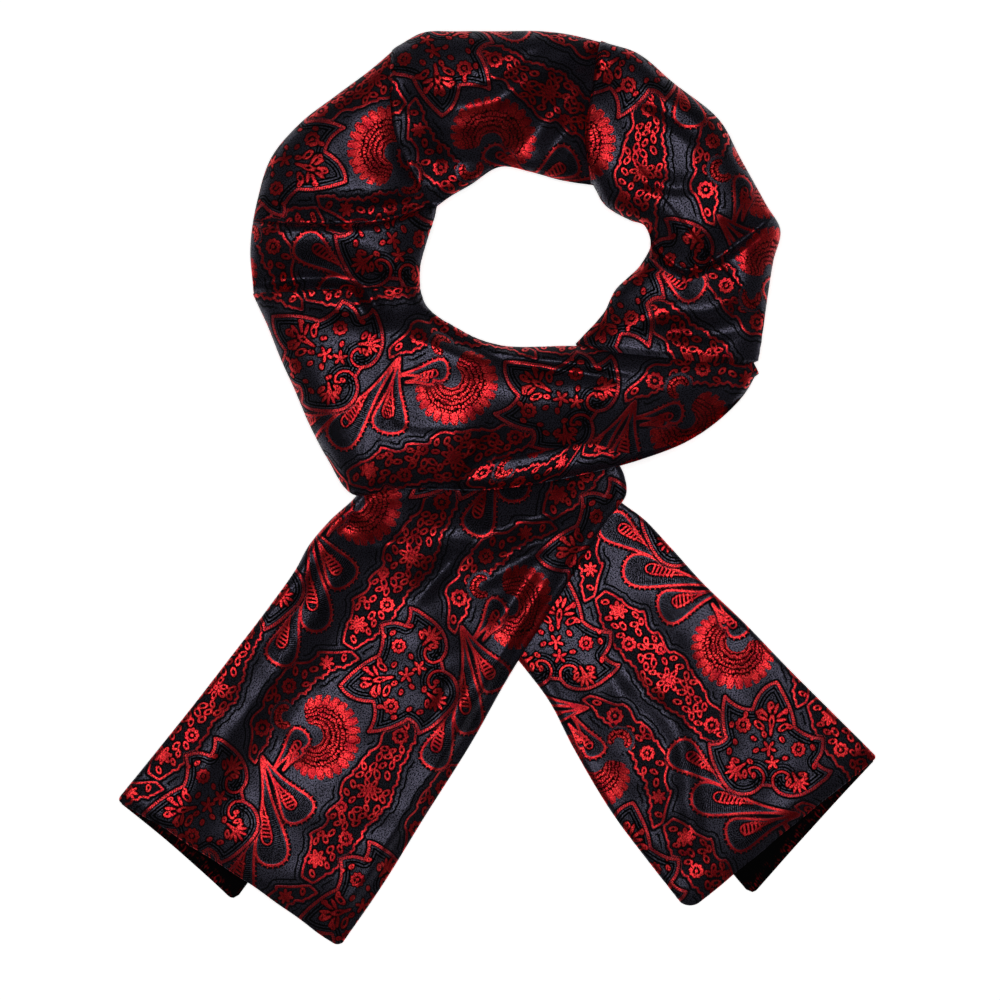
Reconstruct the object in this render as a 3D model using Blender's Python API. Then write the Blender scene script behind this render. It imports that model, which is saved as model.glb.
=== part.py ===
# A silk scarf folded in thirds along its length and wound once round into a neck ring, laid flat.
# The ring is four stretches of loosely bunched cloth, and both tails come out under its front band.
# Everything is worked out in millimetres in plan, seen from above, with the surface it lies on at z = 0.
import bpy
import numpy as np

MM = 0.001

# Driving dimensions, in millimetres
GAP = 0.4  # air between pieces that touch
WALL = 1.6  # a tail's upper panel, three thicknesses of cloth at its hems
UNDER_WALL = 1.5  # the panel folded under a tail
COARSE_STEP = 6.8  # distance between sections of the ring where it is smooth
FINE_STEP = 4.8  # and where folds lie close together along it
TAIL_STEP = 11.0  # distance between sections of a tail
CROWN_POINTS = 16  # points over the top of a ring section
PANEL_POINTS = 13  # points over the top of a tail section
FULL_CROWN = 28.0  # the crown whose sides are as high as SIDE gives them
FULL_WIDTH = 40.0  # a section narrower than this has its side insets scaled down
LOWEST_TOP = 6.0  # no fold goes deeper than this above the surface
LOWEST_PANEL = 3.2  # and on a tail, where a panel is folded under it
LOFT_FLATNESS = 2.4  # a higher power flattens the crown of a ring section
LOFT_ROUNDING = 0.6  # and a lower one rounds its shoulders
FOLD_TAPER = 0.25  # share of a fold's length over which it fades in, and out again
HEEL_ACROSS = 12.0  # an end's corner point, which sees round the notch in the side
HEEL_HEIGHT = 3.5
RIDE = 5.6  # how far the left tail is lifted where it lies on the right one
RIDE_RAMP = 16.0  # over what distance it comes down beside it

# One side of a ring section, from its foot to its widest point. The notch parts the hidden lower turn
# of the scarf from the upper one.
SIDE_COLUMNS = ("inset", "height")
SIDE = (
    (3.2, 0.0),
    (0.6, 3.0),
    (4.8, 6.4),
    (1.3, 9.0),
    (0.0, 13.0),
)
# The front band's outer side where it bridges the tails, which come out from under it.
TUCKED_SIDE = (
    (24.0, 0.0),
    (22.5, 7.0),
    (20.0, 14.6),
    (5.0, 16.6),
    (0.0, 21.0),
)

# Sections of the ring, each from the neck hole's edge to the outer edge. "bow" pushes the middle of the
# section along the scarf, "crown" is its height, and "tuck" is 1 where its outer side is TUCKED_SIDE.
RUNG_COLUMNS = ("inner_x", "inner_y", "outer_x", "outer_y", "bow", "crown", "tuck")
LOOP_RIGHT = (
    (47, 88.7, 157, 78.5, 0, 24, 0),
    (63, 106, 159, 91, 0, 25, 0),
    (71, 121, 162, 114, 0, 27, 0),
    (86, 136, 166, 139, 0, 27, 0),
    (92, 148, 170, 157, 0, 27, 0),
    (89, 159, 161, 173, 0, 28, 0),
    (80, 163, 146, 200, 0, 29, 0),
    (70, 168, 134, 222, 0, 30, 0),
    (63, 174, 106, 245, 1, 30, 0),
    (60, 180, 82, 264, 3, 29, 0),
    (58, 184, 66, 269, 5, 28, 0),
)
LOOP_TOP = (
    (58, 184, 66, 269, 5, 23, 0),
    (38, 187, 44, 274, 2, 26, 0),
    (20, 192, 26, 276, 0, 28, 0),
    (2, 195, 2, 276, 0, 29, 0),
    (-16, 184, -25, 276, 3, 30, 0),
    (-28, 177, -45, 275, 8, 30, 0),
    (-36, 171, -60, 267, 11, 29, 0),
)
LOOP_LEFT = (
    (-36, 171, -60, 267, 11, 23, 0),
    (-37, 166, -76, 253, 9, 26, 0),
    (-38, 162, -96, 238, 5, 27, 0),
    (-40, 156, -118, 221, 2, 28, 0),
    (-42, 150, -135, 201, 0, 28, 0),
    (-44, 143, -144, 174, 0, 27, 0),
    (-46, 134, -148, 147, 0, 27, 0),
    (-46, 122, -146, 117, 0, 26, 0),
)
FRONT_BAND = (
    (-46, 122, -146, 117, 0, 26, 0),
    (-44, 115, -138, 100, 0, 28, 0),
    (-41, 110, -130, 80, 0, 29, 0),
    (-34, 104, -121, 60, 0, 30, 0),
    (-27, 100, -113, 41, 0, 31, 0),
    (-20, 96, -102, 20, 0, 32, 0),
    (-12, 92, -86, -2, 0, 33, 0.8),
    (-3, 89, -62, 1, 0, 33, 1),
    (9, 87, -34, 1, 0, 33, 1),
    (26, 87, -4, 1, 0, 33, 1),
    (41, 87.5, 26, 5, 0, 32, 1),
    (56, 87.2, 56, 11, 0, 31, 1),
    (77, 85.2, 86, 19, 0, 30, 0.6),
    (99, 83.2, 116, 31, 0, 28, 0),
    (123, 81.0, 139, 48, 0, 25, 0),
    (143, 79.1, 151, 62, 0, 21, 0),
    (150, 78.5, 155, 69, 0, 17, 0),
)

# Sections of a tail, each from its folded edge to its other edge. "roll" is how high the folded edge
# stands and "puff" how high the middle lies.
TAIL_COLUMNS = ("fold_x", "fold_y", "edge_x", "edge_y", "bow", "roll", "puff")
TAIL_LEFT = (
    (-78, 5, 71, 21, 0, 9, 6.5),
    (-88, -6, 77, 9, 0, 9.5, 6.5),
    (-96, -13, 78, -1, 0, 11, 7.5),
    (-104, -21, 65, -19, 0, 11, 9),
    (-113, -32, 50, -44, 0, 10, 9),
    (-122, -48, 28, -78, 0, 9, 8),
    (-137, -69, 8, -110, 0, 8, 7),
    (-160, -99, -15, -151, 0, 7, 7),
    (-184, -130, -44, -197, 0, 6.5, 7),
    (-208, -160, -70, -239, -1, 6, 8),
    (-229, -186, -95, -275, -4, 6, 9),
)
TAIL_RIGHT = (
    (56, 13, -50, 1, 0, 4.2, 4.2),
    (68, -1, -42, -21, 0, 4.2, 4.2),
    (77, -8, -27, -49, 0, 4.4, 4.2),
    (89, -17, -8, -76, 0, 5, 4.2),
    (105, -34, 12, -101, 0, 5.5, 4.4),
    (124, -55, 31, -126, 0, 6, 6),
    (148, -78, 46, -155, 0, 6, 7.5),
    (175, -106, 68, -192, 0, 6, 8),
    (203, -134, 91, -223, 0, 6, 8.5),
    (229, -160, 115, -253, -1, 6, 9),
)
# A tail's other edge, from its shoulder down to the surface.
TAIL_EDGE = (
    (3.6, 3.4),
    (1.2, 2.4),
    (0.8, 1.0),
)
ROLL_TURN = (-90, -135, 180, 135, 90)  # degrees round the folded edge, from under it to over it
ROLL_BLEND = 0.35  # share of a tail's width over which the roll goes over into the middle
EDGE_FALL = 0.45  # and over which the middle comes down to the edge
UNDER_POINTS = 8  # points across the panel folded under
# How much of a tail's width the panel folded under takes up, and how far it reaches past the upper
# panel's end, at the fold and at its far corner.
TAIL_LEFT_UNDER = {"share": 0.58, "reach_at_fold": 1.0, "reach_at_corner": 16.0}
TAIL_RIGHT_UNDER = {"share": 0.76, "reach_at_fold": 1.0, "reach_at_corner": 18.0}

# The largest folds: a ridge where "rise" is positive and a trough where it is negative, along a line
# from one point to another that is pushed sideways by "bow".
FOLD_COLUMNS = ("from_x", "from_y", "to_x", "to_y", "bow", "half_width", "rise")
RING_FOLDS = (
    (-60, 204, 22, 209, -4, 9, -14),
    (-54, 213, 66, 270, -5, 7.5, 6),
    (24, 206, 56, 252, 4, 9, -9),
    (57, 258, 94, 256, 0, 6, -4),
    (84, 178, 116, 126, -3, 6, -6),
    (178, 165, 112, 124, 6, 8, -11),
    (88, 140, 118, 124, 0, 6, -7),
    (118, 124, 64, 107, 3, 7, -5),
    (82, 96, 152, 91, 0, 6, -4),
    (-150, 163, -32, 169, 4, 8, -11),
    (-132, 152, -60, 137, 6, 7, 4),
    (-154, 137, -58, 122, 13, 8, -11),
    (-106, 134, -56, 117, 3, 7, 5),
    (-118, 118, -78, 112, 0, 7, -6),
    (-98, 106, -40, 110, 4, 7, 4),
    (-96, 97, -48, 93, 2, 7, -4),
    (-20, 76, 36, 58, 4, 7, -6),
    (0, 58, 30, 42, 0, 9, 3),
)
TAIL_LEFT_FOLDS = (
    (-88, -12, -40, -22, 3, 9, -6),
    (-84, -36, -46, -24, -4, 6, 3),
    (-58, -70, -14, -20, 3, 7, -4),
)
TAIL_RIGHT_FOLDS = ((58, -98, 112, -178, 7, 10, -3),)

SHOWN_FACE = {"colour": (0.20, 0.012, 0.014, 1.0), "roughness": 0.34}
REVERSE_FACE = {"colour": (0.012, 0.009, 0.010, 1.0), "roughness": 0.55}


def clear_scene():
    for old in list(bpy.data.objects):
        bpy.data.objects.remove(old, do_unlink=True)


def columns_of(rows, names):
    """A table's columns by name."""
    table = np.array(rows, float)
    return {name: table[:, i] for i, name in enumerate(names)}


def through_rows(rows, step):
    """Rows read off smooth curves through a table, about one step apart along the scarf's middle."""
    table = np.array(rows, float)
    middle = (table[:, 0:2] + table[:, 2:4]) / 2
    knots = np.concatenate([[0], np.cumsum(np.linalg.norm(np.diff(middle, axis=0), axis=1))])
    spans = np.diff(knots)[:, None]
    slopes = np.diff(table, axis=0) / spans
    inner = (slopes[:-1] * spans[1:] + slopes[1:] * spans[:-1]) / (spans[1:] + spans[:-1])
    tangents = np.concatenate([slopes[:1], inner, slopes[-1:]])
    count = int(round(knots[-1] / step)) + 1
    places = np.linspace(0, knots[-1], count)
    left = np.clip(np.searchsorted(knots, places, side="right") - 1, 0, len(knots) - 2)
    span = spans[left]
    u = (places - knots[left])[:, None] / span
    before, after = table[left], table[left + 1]
    return (
        before * (1 + 2 * u) * (1 - u) ** 2
        + tangents[left] * span * u * (1 - u) ** 2
        + after * u**2 * (3 - 2 * u)
        + tangents[left + 1] * span * u**2 * (u - 1)
    )


def ease(value):
    """0 below 0, 1 above 1, and a smooth step between them."""
    value = np.clip(value, 0, 1)
    return value * value * (3 - 2 * value)


def fold_heights(x, y, folds):
    """What the folds add to the height of the cloth at each point."""
    total = np.zeros_like(x)
    for row in folds:
        fold = dict(zip(FOLD_COLUMNS, row))
        run_x = fold["to_x"] - fold["from_x"]
        run_y = fold["to_y"] - fold["from_y"]
        length = np.hypot(run_x, run_y)
        away_x = x - fold["from_x"]
        away_y = y - fold["from_y"]
        along = (away_x * run_x + away_y * run_y) / length**2
        beside = (away_y * run_x - away_x * run_y) / length
        middle = fold["bow"] * 4 * along * (1 - along)
        taper = ease(along / FOLD_TAPER) * ease((1 - along) / FOLD_TAPER)
        total += fold["rise"] * taper * np.exp(-(((beside - middle) / fold["half_width"]) ** 2))
    return total


def place_across(start, end, bow, across):
    """Plan positions at distances across a section that runs from start to end."""
    run = end - start
    width = np.linalg.norm(run)
    share = np.asarray(across, float)[:, None] / width
    forward = np.array([-run[1], run[0]]) / width
    return start + run * share + forward * bow * 4 * share * (1 - share)


def ring_section(row, folds):
    """Points over one ring section, from the inner foot over the crown to the outer foot."""
    rung = dict(zip(RUNG_COLUMNS, row))
    start = np.array([rung["inner_x"], rung["inner_y"]])
    end = np.array([rung["outer_x"], rung["outer_y"]])
    width = np.linalg.norm(end - start)
    side = columns_of(SIDE, SIDE_COLUMNS)
    inset = side["inset"] * min(1.0, width / FULL_WIDTH)
    side_height = side["height"] * min(1.0, rung["crown"] / FULL_CROWN)
    tucked = columns_of(TUCKED_SIDE, SIDE_COLUMNS)
    outer_inset = inset + rung["tuck"] * (tucked["inset"] - inset)
    outer_height = side_height + rung["tuck"] * (tucked["height"] - side_height)
    even = np.arange(1, CROWN_POINTS + 1) / (CROWN_POINTS + 1)
    share = (even + (1 - np.cos(np.pi * even)) / 2) / 2
    loft = (1 - np.abs(2 * share - 1) ** LOFT_FLATNESS) ** LOFT_ROUNDING
    shoulder = side_height[-1] + (outer_height[-1] - side_height[-1]) * ease(share)
    crown_height = shoulder + (rung["crown"] - shoulder) * loft
    across = np.concatenate([inset, share * width, width - outer_inset[::-1]])
    plan = place_across(start, end, rung["bow"], across)
    over_crown = slice(len(inset), len(inset) + CROWN_POINTS)
    folded = fold_heights(plan[over_crown, 0], plan[over_crown, 1], folds) * loft**0.5
    top = np.maximum(crown_height + folded, LOWEST_TOP)
    height = np.concatenate([side_height, top, outer_height[::-1]])
    return np.column_stack([plan, height]), across


def draw_in_ends(sections, distance):
    """Moves the two end sections a little towards the middle of their stretch."""
    for end, beside in ((0, 1), (-1, -2)):
        way = (sections[beside] - sections[end])[:, :2].mean(axis=0)
        sections[end][:, :2] += way / np.linalg.norm(way) * distance
    return sections


def strip_faces(rows, columns, closed=False):
    """Quads between neighbouring sections, each a run of points that is closed or open."""
    faces = []
    for i in range(rows - 1):
        for j in range(columns if closed else columns - 1):
            k = (j + 1) % columns
            here = i * columns
            there = here + columns
            faces.append((here + j, there + j, there + k, here + k))
    return faces


def end_cap(points, first, across):
    """Closes a ring stretch's end down to the surface. Returns its faces and its points on the surface."""
    columns = len(across)
    width = across[0] + across[-1]
    heel_across = min(HEEL_ACROSS, 0.3 * width)
    section = np.array(points[first : first + columns])
    crown = range(len(SIDE), columns - len(SIDE))
    below = {}
    for j in crown:
        if heel_across < across[j] < width - heel_across:
            below[j] = len(points)
            points.append((section[j][0], section[j][1], 0.0))
    heel_height = HEEL_HEIGHT * section[len(SIDE) - 1][2] / SIDE[-1][1]
    heels = []
    for place in (heel_across, width - heel_across):
        heels.append(len(points))
        x = np.interp(place, across[crown], section[crown, 0])
        y = np.interp(place, across[crown], section[crown, 1])
        points.append((x, y, heel_height))
    near, far = min(below), max(below)
    faces = [(heels[0], first + near, below[near]), (heels[0], below[near], first)]
    faces += [(heels[0], first + j, first + j + 1) for j in range(near)]
    faces += [(first + j, first + j + 1, below[j + 1], below[j]) for j in range(near, far)]
    faces += [(heels[1], first + j, first + j + 1) for j in range(far, columns - 1)]
    faces += [(heels[1], below[far], first + far), (heels[1], first + columns - 1, below[far])]
    return faces, [first] + [below[j] for j in sorted(below)] + [first + columns - 1]


def turned(faces):
    """The same faces, facing the other way."""
    return [face[::-1] for face in faces]


def make_piece(name, points, faces, finish, collection):
    """A mesh object in metres, with its own material."""
    mesh = bpy.data.meshes.new(name)
    mesh.from_pydata((np.array(points) * MM).tolist(), [], faces)
    mesh.validate()
    piece = bpy.data.objects.new(name, mesh)
    collection.objects.link(piece)
    material = bpy.data.materials.new(name + "_silk")
    material.use_nodes = True
    shader = material.node_tree.nodes["Principled BSDF"]
    shader.inputs["Base Color"].default_value = finish["colour"]
    shader.inputs["Roughness"].default_value = finish["roughness"]
    shader.inputs["Metallic"].default_value = 0.0
    mesh.materials.append(material)
    mesh.shade_smooth()
    mesh.set_sharp_from_angle(angle=np.radians(50))
    return piece


def ring_stretch(name, rows, step, collection):
    """One stretch of the ring: a rounded solid, flat underneath, with its folds over the top."""
    table = through_rows(rows, step)
    sections, across = zip(*[ring_section(row, RING_FOLDS) for row in table])
    draw_in_ends(sections, GAP / 2)
    count, columns = len(sections), len(sections[0])
    points = [tuple(point) for section in sections for point in section]
    last = (count - 1) * columns
    first_cap, first_low = end_cap(points, 0, across[0])
    last_cap, last_low = end_cap(points, last, across[-1])
    inner_feet = [i * columns for i in range(1, count - 1)]
    outer_feet = [i * columns + columns - 1 for i in range(1, count - 1)]
    underside = first_low + outer_feet + last_low[::-1] + inner_feet[::-1]
    faces = turned(strip_faces(count, columns) + first_cap + [underside]) + last_cap
    return make_piece(name, points, faces, SHOWN_FACE, collection)


def right_tail_lift(x, y):
    """How far the left tail is lifted at each point, by the right tail under it."""
    edge = columns_of(TAIL_RIGHT, TAIL_COLUMNS)
    corner_x, corner_y = edge["edge_x"], edge["edge_y"]
    nearest = np.full(x.shape, np.inf)
    signed = np.zeros(x.shape)
    for i in range(len(corner_x) - 1):
        run = np.array([corner_x[i + 1] - corner_x[i], corner_y[i + 1] - corner_y[i]])
        length = np.linalg.norm(run)
        away_x, away_y = x - corner_x[i], y - corner_y[i]
        along = np.clip((away_x * run[0] + away_y * run[1]) / length**2, 0, 1)
        distance = np.hypot(away_x - along * run[0], away_y - along * run[1])
        side = (away_y * run[0] - away_x * run[1]) / length
        closer = distance < nearest
        nearest = np.where(closer, distance, nearest)
        signed = np.where(closer, np.copysign(distance, side), signed)
    return RIDE * ease(1 + (signed - GAP) / RIDE_RAMP)


def no_lift(x, y):
    return np.zeros_like(x)


def panel_section(row, side, folds, lift):
    """The outer and inner points of a tail's upper panel at one section. side is 1 where the folded
    edge is on the left of the way to the tail's end, and -1 where it is on the right."""
    tail = dict(zip(TAIL_COLUMNS, row))
    start = np.array([tail["fold_x"], tail["fold_y"]])
    end = np.array([tail["edge_x"], tail["edge_y"]])
    width = np.linalg.norm(end - start)
    radius = (tail["roll"] - WALL) / 2
    turn = np.radians(ROLL_TURN)
    roll_across = WALL / 2 + radius + radius * np.cos(turn)
    roll_height = WALL / 2 + radius + radius * np.sin(turn)
    share = np.arange(1, PANEL_POINTS + 1) / (PANEL_POINTS + 1)
    edge = columns_of(TAIL_EDGE, SIDE_COLUMNS)
    first, last = roll_across[-1], width - edge["inset"][0]
    top_across = first + (last - first) * share
    from_roll = (roll_height[-1] - tail["puff"]) * (1 - ease(share / ROLL_BLEND))
    to_edge = (tail["puff"] - edge["height"][0]) * ease(1 - (1 - share) / EDGE_FALL)
    top_height = tail["puff"] + from_roll - to_edge
    across = np.concatenate([roll_across, top_across, width - edge["inset"]])
    height = np.concatenate([roll_height, top_height, edge["height"]])
    plan = place_across(start, end, side * tail["bow"], across)
    over_top = slice(len(turn), len(turn) + PANEL_POINTS)
    folded = fold_heights(plan[over_top, 0], plan[over_top, 1], folds)
    height[over_top] = np.maximum(height[over_top] + folded, LOWEST_PANEL)
    slope = np.gradient(np.column_stack([across, height]), axis=0)
    slope /= np.linalg.norm(slope, axis=1)[:, None]
    outward = np.column_stack([-slope[:, 1], slope[:, 0]])
    layers = []
    for way in (1, -1):
        moved_across = across + outward[:, 0] * way * WALL / 2
        moved_height = np.maximum(height + outward[:, 1] * way * WALL / 2, 0.0)
        moved = place_across(start, end, side * tail["bow"], moved_across)
        raised = moved_height + lift(moved[:, 0], moved[:, 1])
        layers.append(np.column_stack([moved, raised]))
    return layers


def closed_wall(layers, side):
    """Points and faces of a wall from its outer and inner points at each section."""
    count, columns = len(layers), len(layers[0][0])
    loops = [np.concatenate([outer, inner[::-1]]) for outer, inner in layers]
    points = [tuple(point) for loop in loops for point in loop]
    around = 2 * columns
    faces = strip_faces(count, around, closed=True)
    last = (count - 1) * around
    for j in range(columns - 1):
        k = around - 1 - j
        faces.append((j, j + 1, k - 1, k))
        faces.append((last + k, last + k - 1, last + j + 1, last + j))
    return points, turned(faces) if side > 0 else faces


def tail_front(name, rows, side, folds, lift, collection):
    table = through_rows(rows, TAIL_STEP)
    layers = [panel_section(row, side, folds, lift) for row in table]
    points, faces = closed_wall(layers, side)
    return make_piece(name, points, faces, SHOWN_FACE, collection)


def tail_under(name, rows, side, reach, lift, collection):
    """The panel folded under a tail, which lies flat and shows past the upper panel's end."""
    table = through_rows(rows, TAIL_STEP)
    sections = []
    for row in table:
        tail = dict(zip(TAIL_COLUMNS, row))
        start = np.array([tail["fold_x"], tail["fold_y"]])
        end = np.array([tail["edge_x"], tail["edge_y"]])
        width = np.linalg.norm(end - start)
        first = WALL / 2 + (tail["roll"] - WALL) / 2 + GAP
        across = np.linspace(first, width * reach["share"], UNDER_POINTS)
        sections.append(place_across(start, end, side * tail["bow"], across))
    way = sections[-1] - sections[-2]
    way /= np.linalg.norm(way, axis=1)[:, None]
    share = np.linspace(0, 1, UNDER_POINTS)[:, None]
    past = reach["reach_at_fold"] + (reach["reach_at_corner"] - reach["reach_at_fold"]) * share
    sections.append(sections[-1] + way * past)
    layers = []
    for plan in sections:
        raised = lift(plan[:, 0], plan[:, 1])
        upper = np.column_stack([plan, raised + UNDER_WALL])
        lower = np.column_stack([plan, raised])
        layers.append((upper, lower))
    points, faces = closed_wall(layers, side)
    return make_piece(name, points, faces, REVERSE_FACE, collection)


def centre_on_origin(pieces):
    """Puts the origin at the middle of the scarf's underside."""
    corners = np.array([vertex.co for piece in pieces for vertex in piece.data.vertices])
    lowest, highest = corners.min(axis=0), corners.max(axis=0)
    shift = -(lowest + highest) / 2
    shift[2] = -lowest[2]
    for piece in pieces:
        for vertex in piece.data.vertices:
            vertex.co = vertex.co + type(vertex.co)(shift)


def main():
    clear_scene()
    collection = bpy.data.collections.new("silk_scarf")
    bpy.context.scene.collection.children.link(collection)
    pieces = [
        ring_stretch("loop_right", LOOP_RIGHT, COARSE_STEP, collection),
        ring_stretch("loop_top", LOOP_TOP, FINE_STEP, collection),
        ring_stretch("loop_left", LOOP_LEFT, FINE_STEP, collection),
        ring_stretch("front_band", FRONT_BAND, COARSE_STEP, collection),
        tail_front("tail_left_front", TAIL_LEFT, -1, TAIL_LEFT_FOLDS, right_tail_lift, collection),
        tail_under("tail_left_under", TAIL_LEFT, -1, TAIL_LEFT_UNDER, right_tail_lift, collection),
        tail_front("tail_right_front", TAIL_RIGHT, 1, TAIL_RIGHT_FOLDS, no_lift, collection),
        tail_under("tail_right_under", TAIL_RIGHT, 1, TAIL_RIGHT_UNDER, no_lift, collection),
    ]
    centre_on_origin(pieces)


main()
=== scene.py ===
# The looks of a paisley jacquard silk scarf, looped into a neck ring and laid flat.
# Plan tables are in millimetres, seen from above, as the solids' own tables are.
import bpy
import numpy as np
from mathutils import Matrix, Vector


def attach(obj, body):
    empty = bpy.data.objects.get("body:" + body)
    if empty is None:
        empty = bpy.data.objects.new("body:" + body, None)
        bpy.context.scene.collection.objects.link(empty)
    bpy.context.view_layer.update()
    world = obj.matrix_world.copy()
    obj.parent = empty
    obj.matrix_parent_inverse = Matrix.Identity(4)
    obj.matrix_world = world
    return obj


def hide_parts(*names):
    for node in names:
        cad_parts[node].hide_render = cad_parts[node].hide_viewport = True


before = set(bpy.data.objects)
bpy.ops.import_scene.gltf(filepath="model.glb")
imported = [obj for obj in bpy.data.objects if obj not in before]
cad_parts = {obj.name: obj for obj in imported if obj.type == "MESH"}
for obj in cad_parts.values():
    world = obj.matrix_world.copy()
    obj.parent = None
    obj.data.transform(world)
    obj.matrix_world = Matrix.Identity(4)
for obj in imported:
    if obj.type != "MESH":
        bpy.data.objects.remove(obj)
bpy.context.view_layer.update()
print("frame loaded")

mm = 0.001
tableToOrigin = np.array([0.0, -0.6])   # from the plan tables' origin to the frame's, in mm

scarf = {
    "step": 0.85,          # mm between neighbouring points of the visible cloth
    "sectionPoints": 162,  # points across the top of a section before they are spaced evenly
    "fullCrown": 28.0,     # a ring section this high has its full side profile
    "fullWidth": 40.0,     # and one narrower than this has it scaled down
    "lowestTop": 5.0,      # no fold goes deeper than this
    "loftFlatness": 4.2,   # a higher power flattens the crown
    "loftRounding": 0.55,  # and a lower one rounds its shoulders
    "ride": 5.6,           # how far the left tail is lifted by the right one
    "rideRamp": 44.0,      # and over what distance it comes down beside it
}

# from the foot to the widest point: how far in, how high. The notch parts the two turns of the scarf.
plainSide = ((6.5, 0.6), (3.2, 0.0), (0.6, 3.0), (4.8, 6.4), (1.3, 9.0), (0.0, 13.0))
tuckedSide = ((26.0, 1.0), (24.0, 0.0), (22.5, 7.0), (20.0, 14.0), (5.0, 16.2), (0.0, 21.0))


def easeStep(value):
    value = np.clip(value, 0, 1)
    return value * value * (3 - 2 * value)


def smoothRead(table, knots, places):
    # a smooth curve through the rows of a table, read at some places
    spans = np.diff(knots)[:, None]
    slopes = np.diff(table, axis=0) / spans
    inner = (slopes[:-1] * spans[1:] + slopes[1:] * spans[:-1]) / (spans[1:] + spans[:-1])
    tangents = np.concatenate([slopes[:1], inner, slopes[-1:]])
    left = np.clip(np.searchsorted(knots, places, side="right") - 1, 0, len(knots) - 2)
    span = spans[left]
    u = (places - knots[left])[:, None] / span
    return (
        table[left] * (1 + 2 * u) * (1 - u) ** 2
        + tangents[left] * span * u * (1 - u) ** 2
        + table[left + 1] * u ** 2 * (3 - 2 * u)
        + tangents[left + 1] * span * u ** 2 * (u - 1)
    )


def chordKnots(points):
    return np.concatenate([[0], np.cumsum(np.linalg.norm(np.diff(points, axis=0), axis=1))])


def smoothLine(points, step):
    points = np.array(points, float)
    knots = chordKnots(points)
    return smoothRead(points, knots, np.linspace(0, knots[-1], max(3, int(knots[-1] / step) + 1)))


def throughRows(rows, step):
    # rungs about one step apart along the scarf's middle
    table = np.array(rows, float)
    knots = chordKnots((table[:, 0:2] + table[:, 2:4]) / 2)
    return smoothRead(table, knots, np.linspace(0, knots[-1], int(round(knots[-1] / step)) + 1))


def nearestOn(points, closed, x, y):
    # how far each place is from a line or outline (negative inside one), and how far along it
    starts = points if closed else points[:-1]
    ends = np.roll(points, -1, axis=0) if closed else points[1:]
    steps = np.hypot(*(ends - starts).T)
    runs = np.concatenate([[0], np.cumsum(steps)])
    best = np.full(x.shape, 1e9)
    run = np.zeros(x.shape)
    beside = np.zeros(x.shape)
    inside = np.zeros(x.shape, bool)
    for (ax, ay), (bx, by), start, step in zip(starts, ends, runs, steps):
        ex, ey = bx - ax, by - ay
        share = np.clip(((x - ax) * ex + (y - ay) * ey) / max(step * step, 1e-9), 0, 1)
        away = np.hypot(x - ax - share * ex, y - ay - share * ey)
        near = away < best
        best = np.where(near, away, best)
        run = np.where(near, start + share * step, run)
        beside = np.where(near, (y - ay) * ex - (x - ax) * ey, beside)
        if closed and ay != by:
            inside ^= ((ay > y) != (by > y)) & (x < ex * (y - ay) / ey + ax)
    if closed:
        return np.where(inside, -best, best), run
    return np.copysign(best, beside), run


swell = {"fade": 0.22, "pitch": 4.0}   # share of a line over which it fades in, mm between its points
crease = {
    "fade": 0.4, "pitch": 3.0,
    "reach": 3.2,                      # in half widths; beyond it a crease has no height left
    "gentle": 1.25, "steep": 0.8,      # how wide its left and its right side are
}
rumple = {
    "height": 0.12, "waves": 22, "longest": 60.0, "shortest": 14.0, "seed": 11,
    "falloff": 0.8,                    # how quickly shorter waves get lower
    "bend": 3.0, "bendLength": 2.3,    # mm that a crest bends aside, over this many of its lengths
}


def fadeEnds(share, part):
    return easeStep(share / part) * easeStep((1 - share) / part)


def swellHeights(x, y, swells):
    # broad slopes of the cloth: how high it lies at distances to the left (positive) and right of a line
    total = np.zeros_like(x)
    for profile, points in swells:
        profile = np.array(profile, float)
        line = smoothLine(points, swell["pitch"])
        beside, run = nearestOn(line, False, x, y)
        places = np.clip(beside.ravel(), profile[0, 0], profile[-1, 0])
        heights = smoothRead(profile[:, 1:], profile[:, 0], places)[:, 0].reshape(x.shape)
        total += fadeEnds(run / chordKnots(line)[-1], swell["fade"]) * heights
    return total


def creaseHeights(x, y, creases):
    # finer creases: half width, rise, points along each. One side is steeper than the other.
    total = np.zeros_like(x)
    for halfWidth, rise, points in creases:
        line = smoothLine(points, crease["pitch"])
        margin = crease["reach"] * halfWidth
        low, high = line.min(axis=0) - margin, line.max(axis=0) + margin
        near = (x > low[0]) & (x < high[0]) & (y > low[1]) & (y < high[1])
        if not near.any():
            continue
        beside, run = nearestOn(line, False, x[near], y[near])
        lean = np.where(beside > 0, crease["gentle"], crease["steep"])
        taper = fadeEnds(run / chordKnots(line)[-1], crease["fade"])
        total[near] += rise * taper * np.exp(-((beside / (halfWidth * lean)) ** 2))
    return total


def rumpleHeights(x, y):
    # the small unevenness of handled silk, a sum of soft waves
    draw = np.random.default_rng(rumple["seed"])
    total = np.zeros_like(x)
    for _ in range(rumple["waves"]):
        wave = np.exp(draw.uniform(np.log(rumple["shortest"]), np.log(rumple["longest"])))
        heading, phase = draw.uniform(0, np.pi), draw.uniform(0, 2 * np.pi)
        along = x * np.cos(heading) + y * np.sin(heading)
        aside = x * np.sin(heading) - y * np.cos(heading)
        bend = rumple["bend"] * np.sin(aside / (rumple["bendLength"] * wave) + phase)
        size = rumple["height"] * (wave / rumple["longest"]) ** rumple["falloff"]
        total += size * np.sin((along + bend) * 2 * np.pi / wave + phase)
    return total


def foldHeights(x, y, creases, swells):
    return creaseHeights(x, y, creases) + swellHeights(x, y, swells) + rumpleHeights(x, y)


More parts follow.
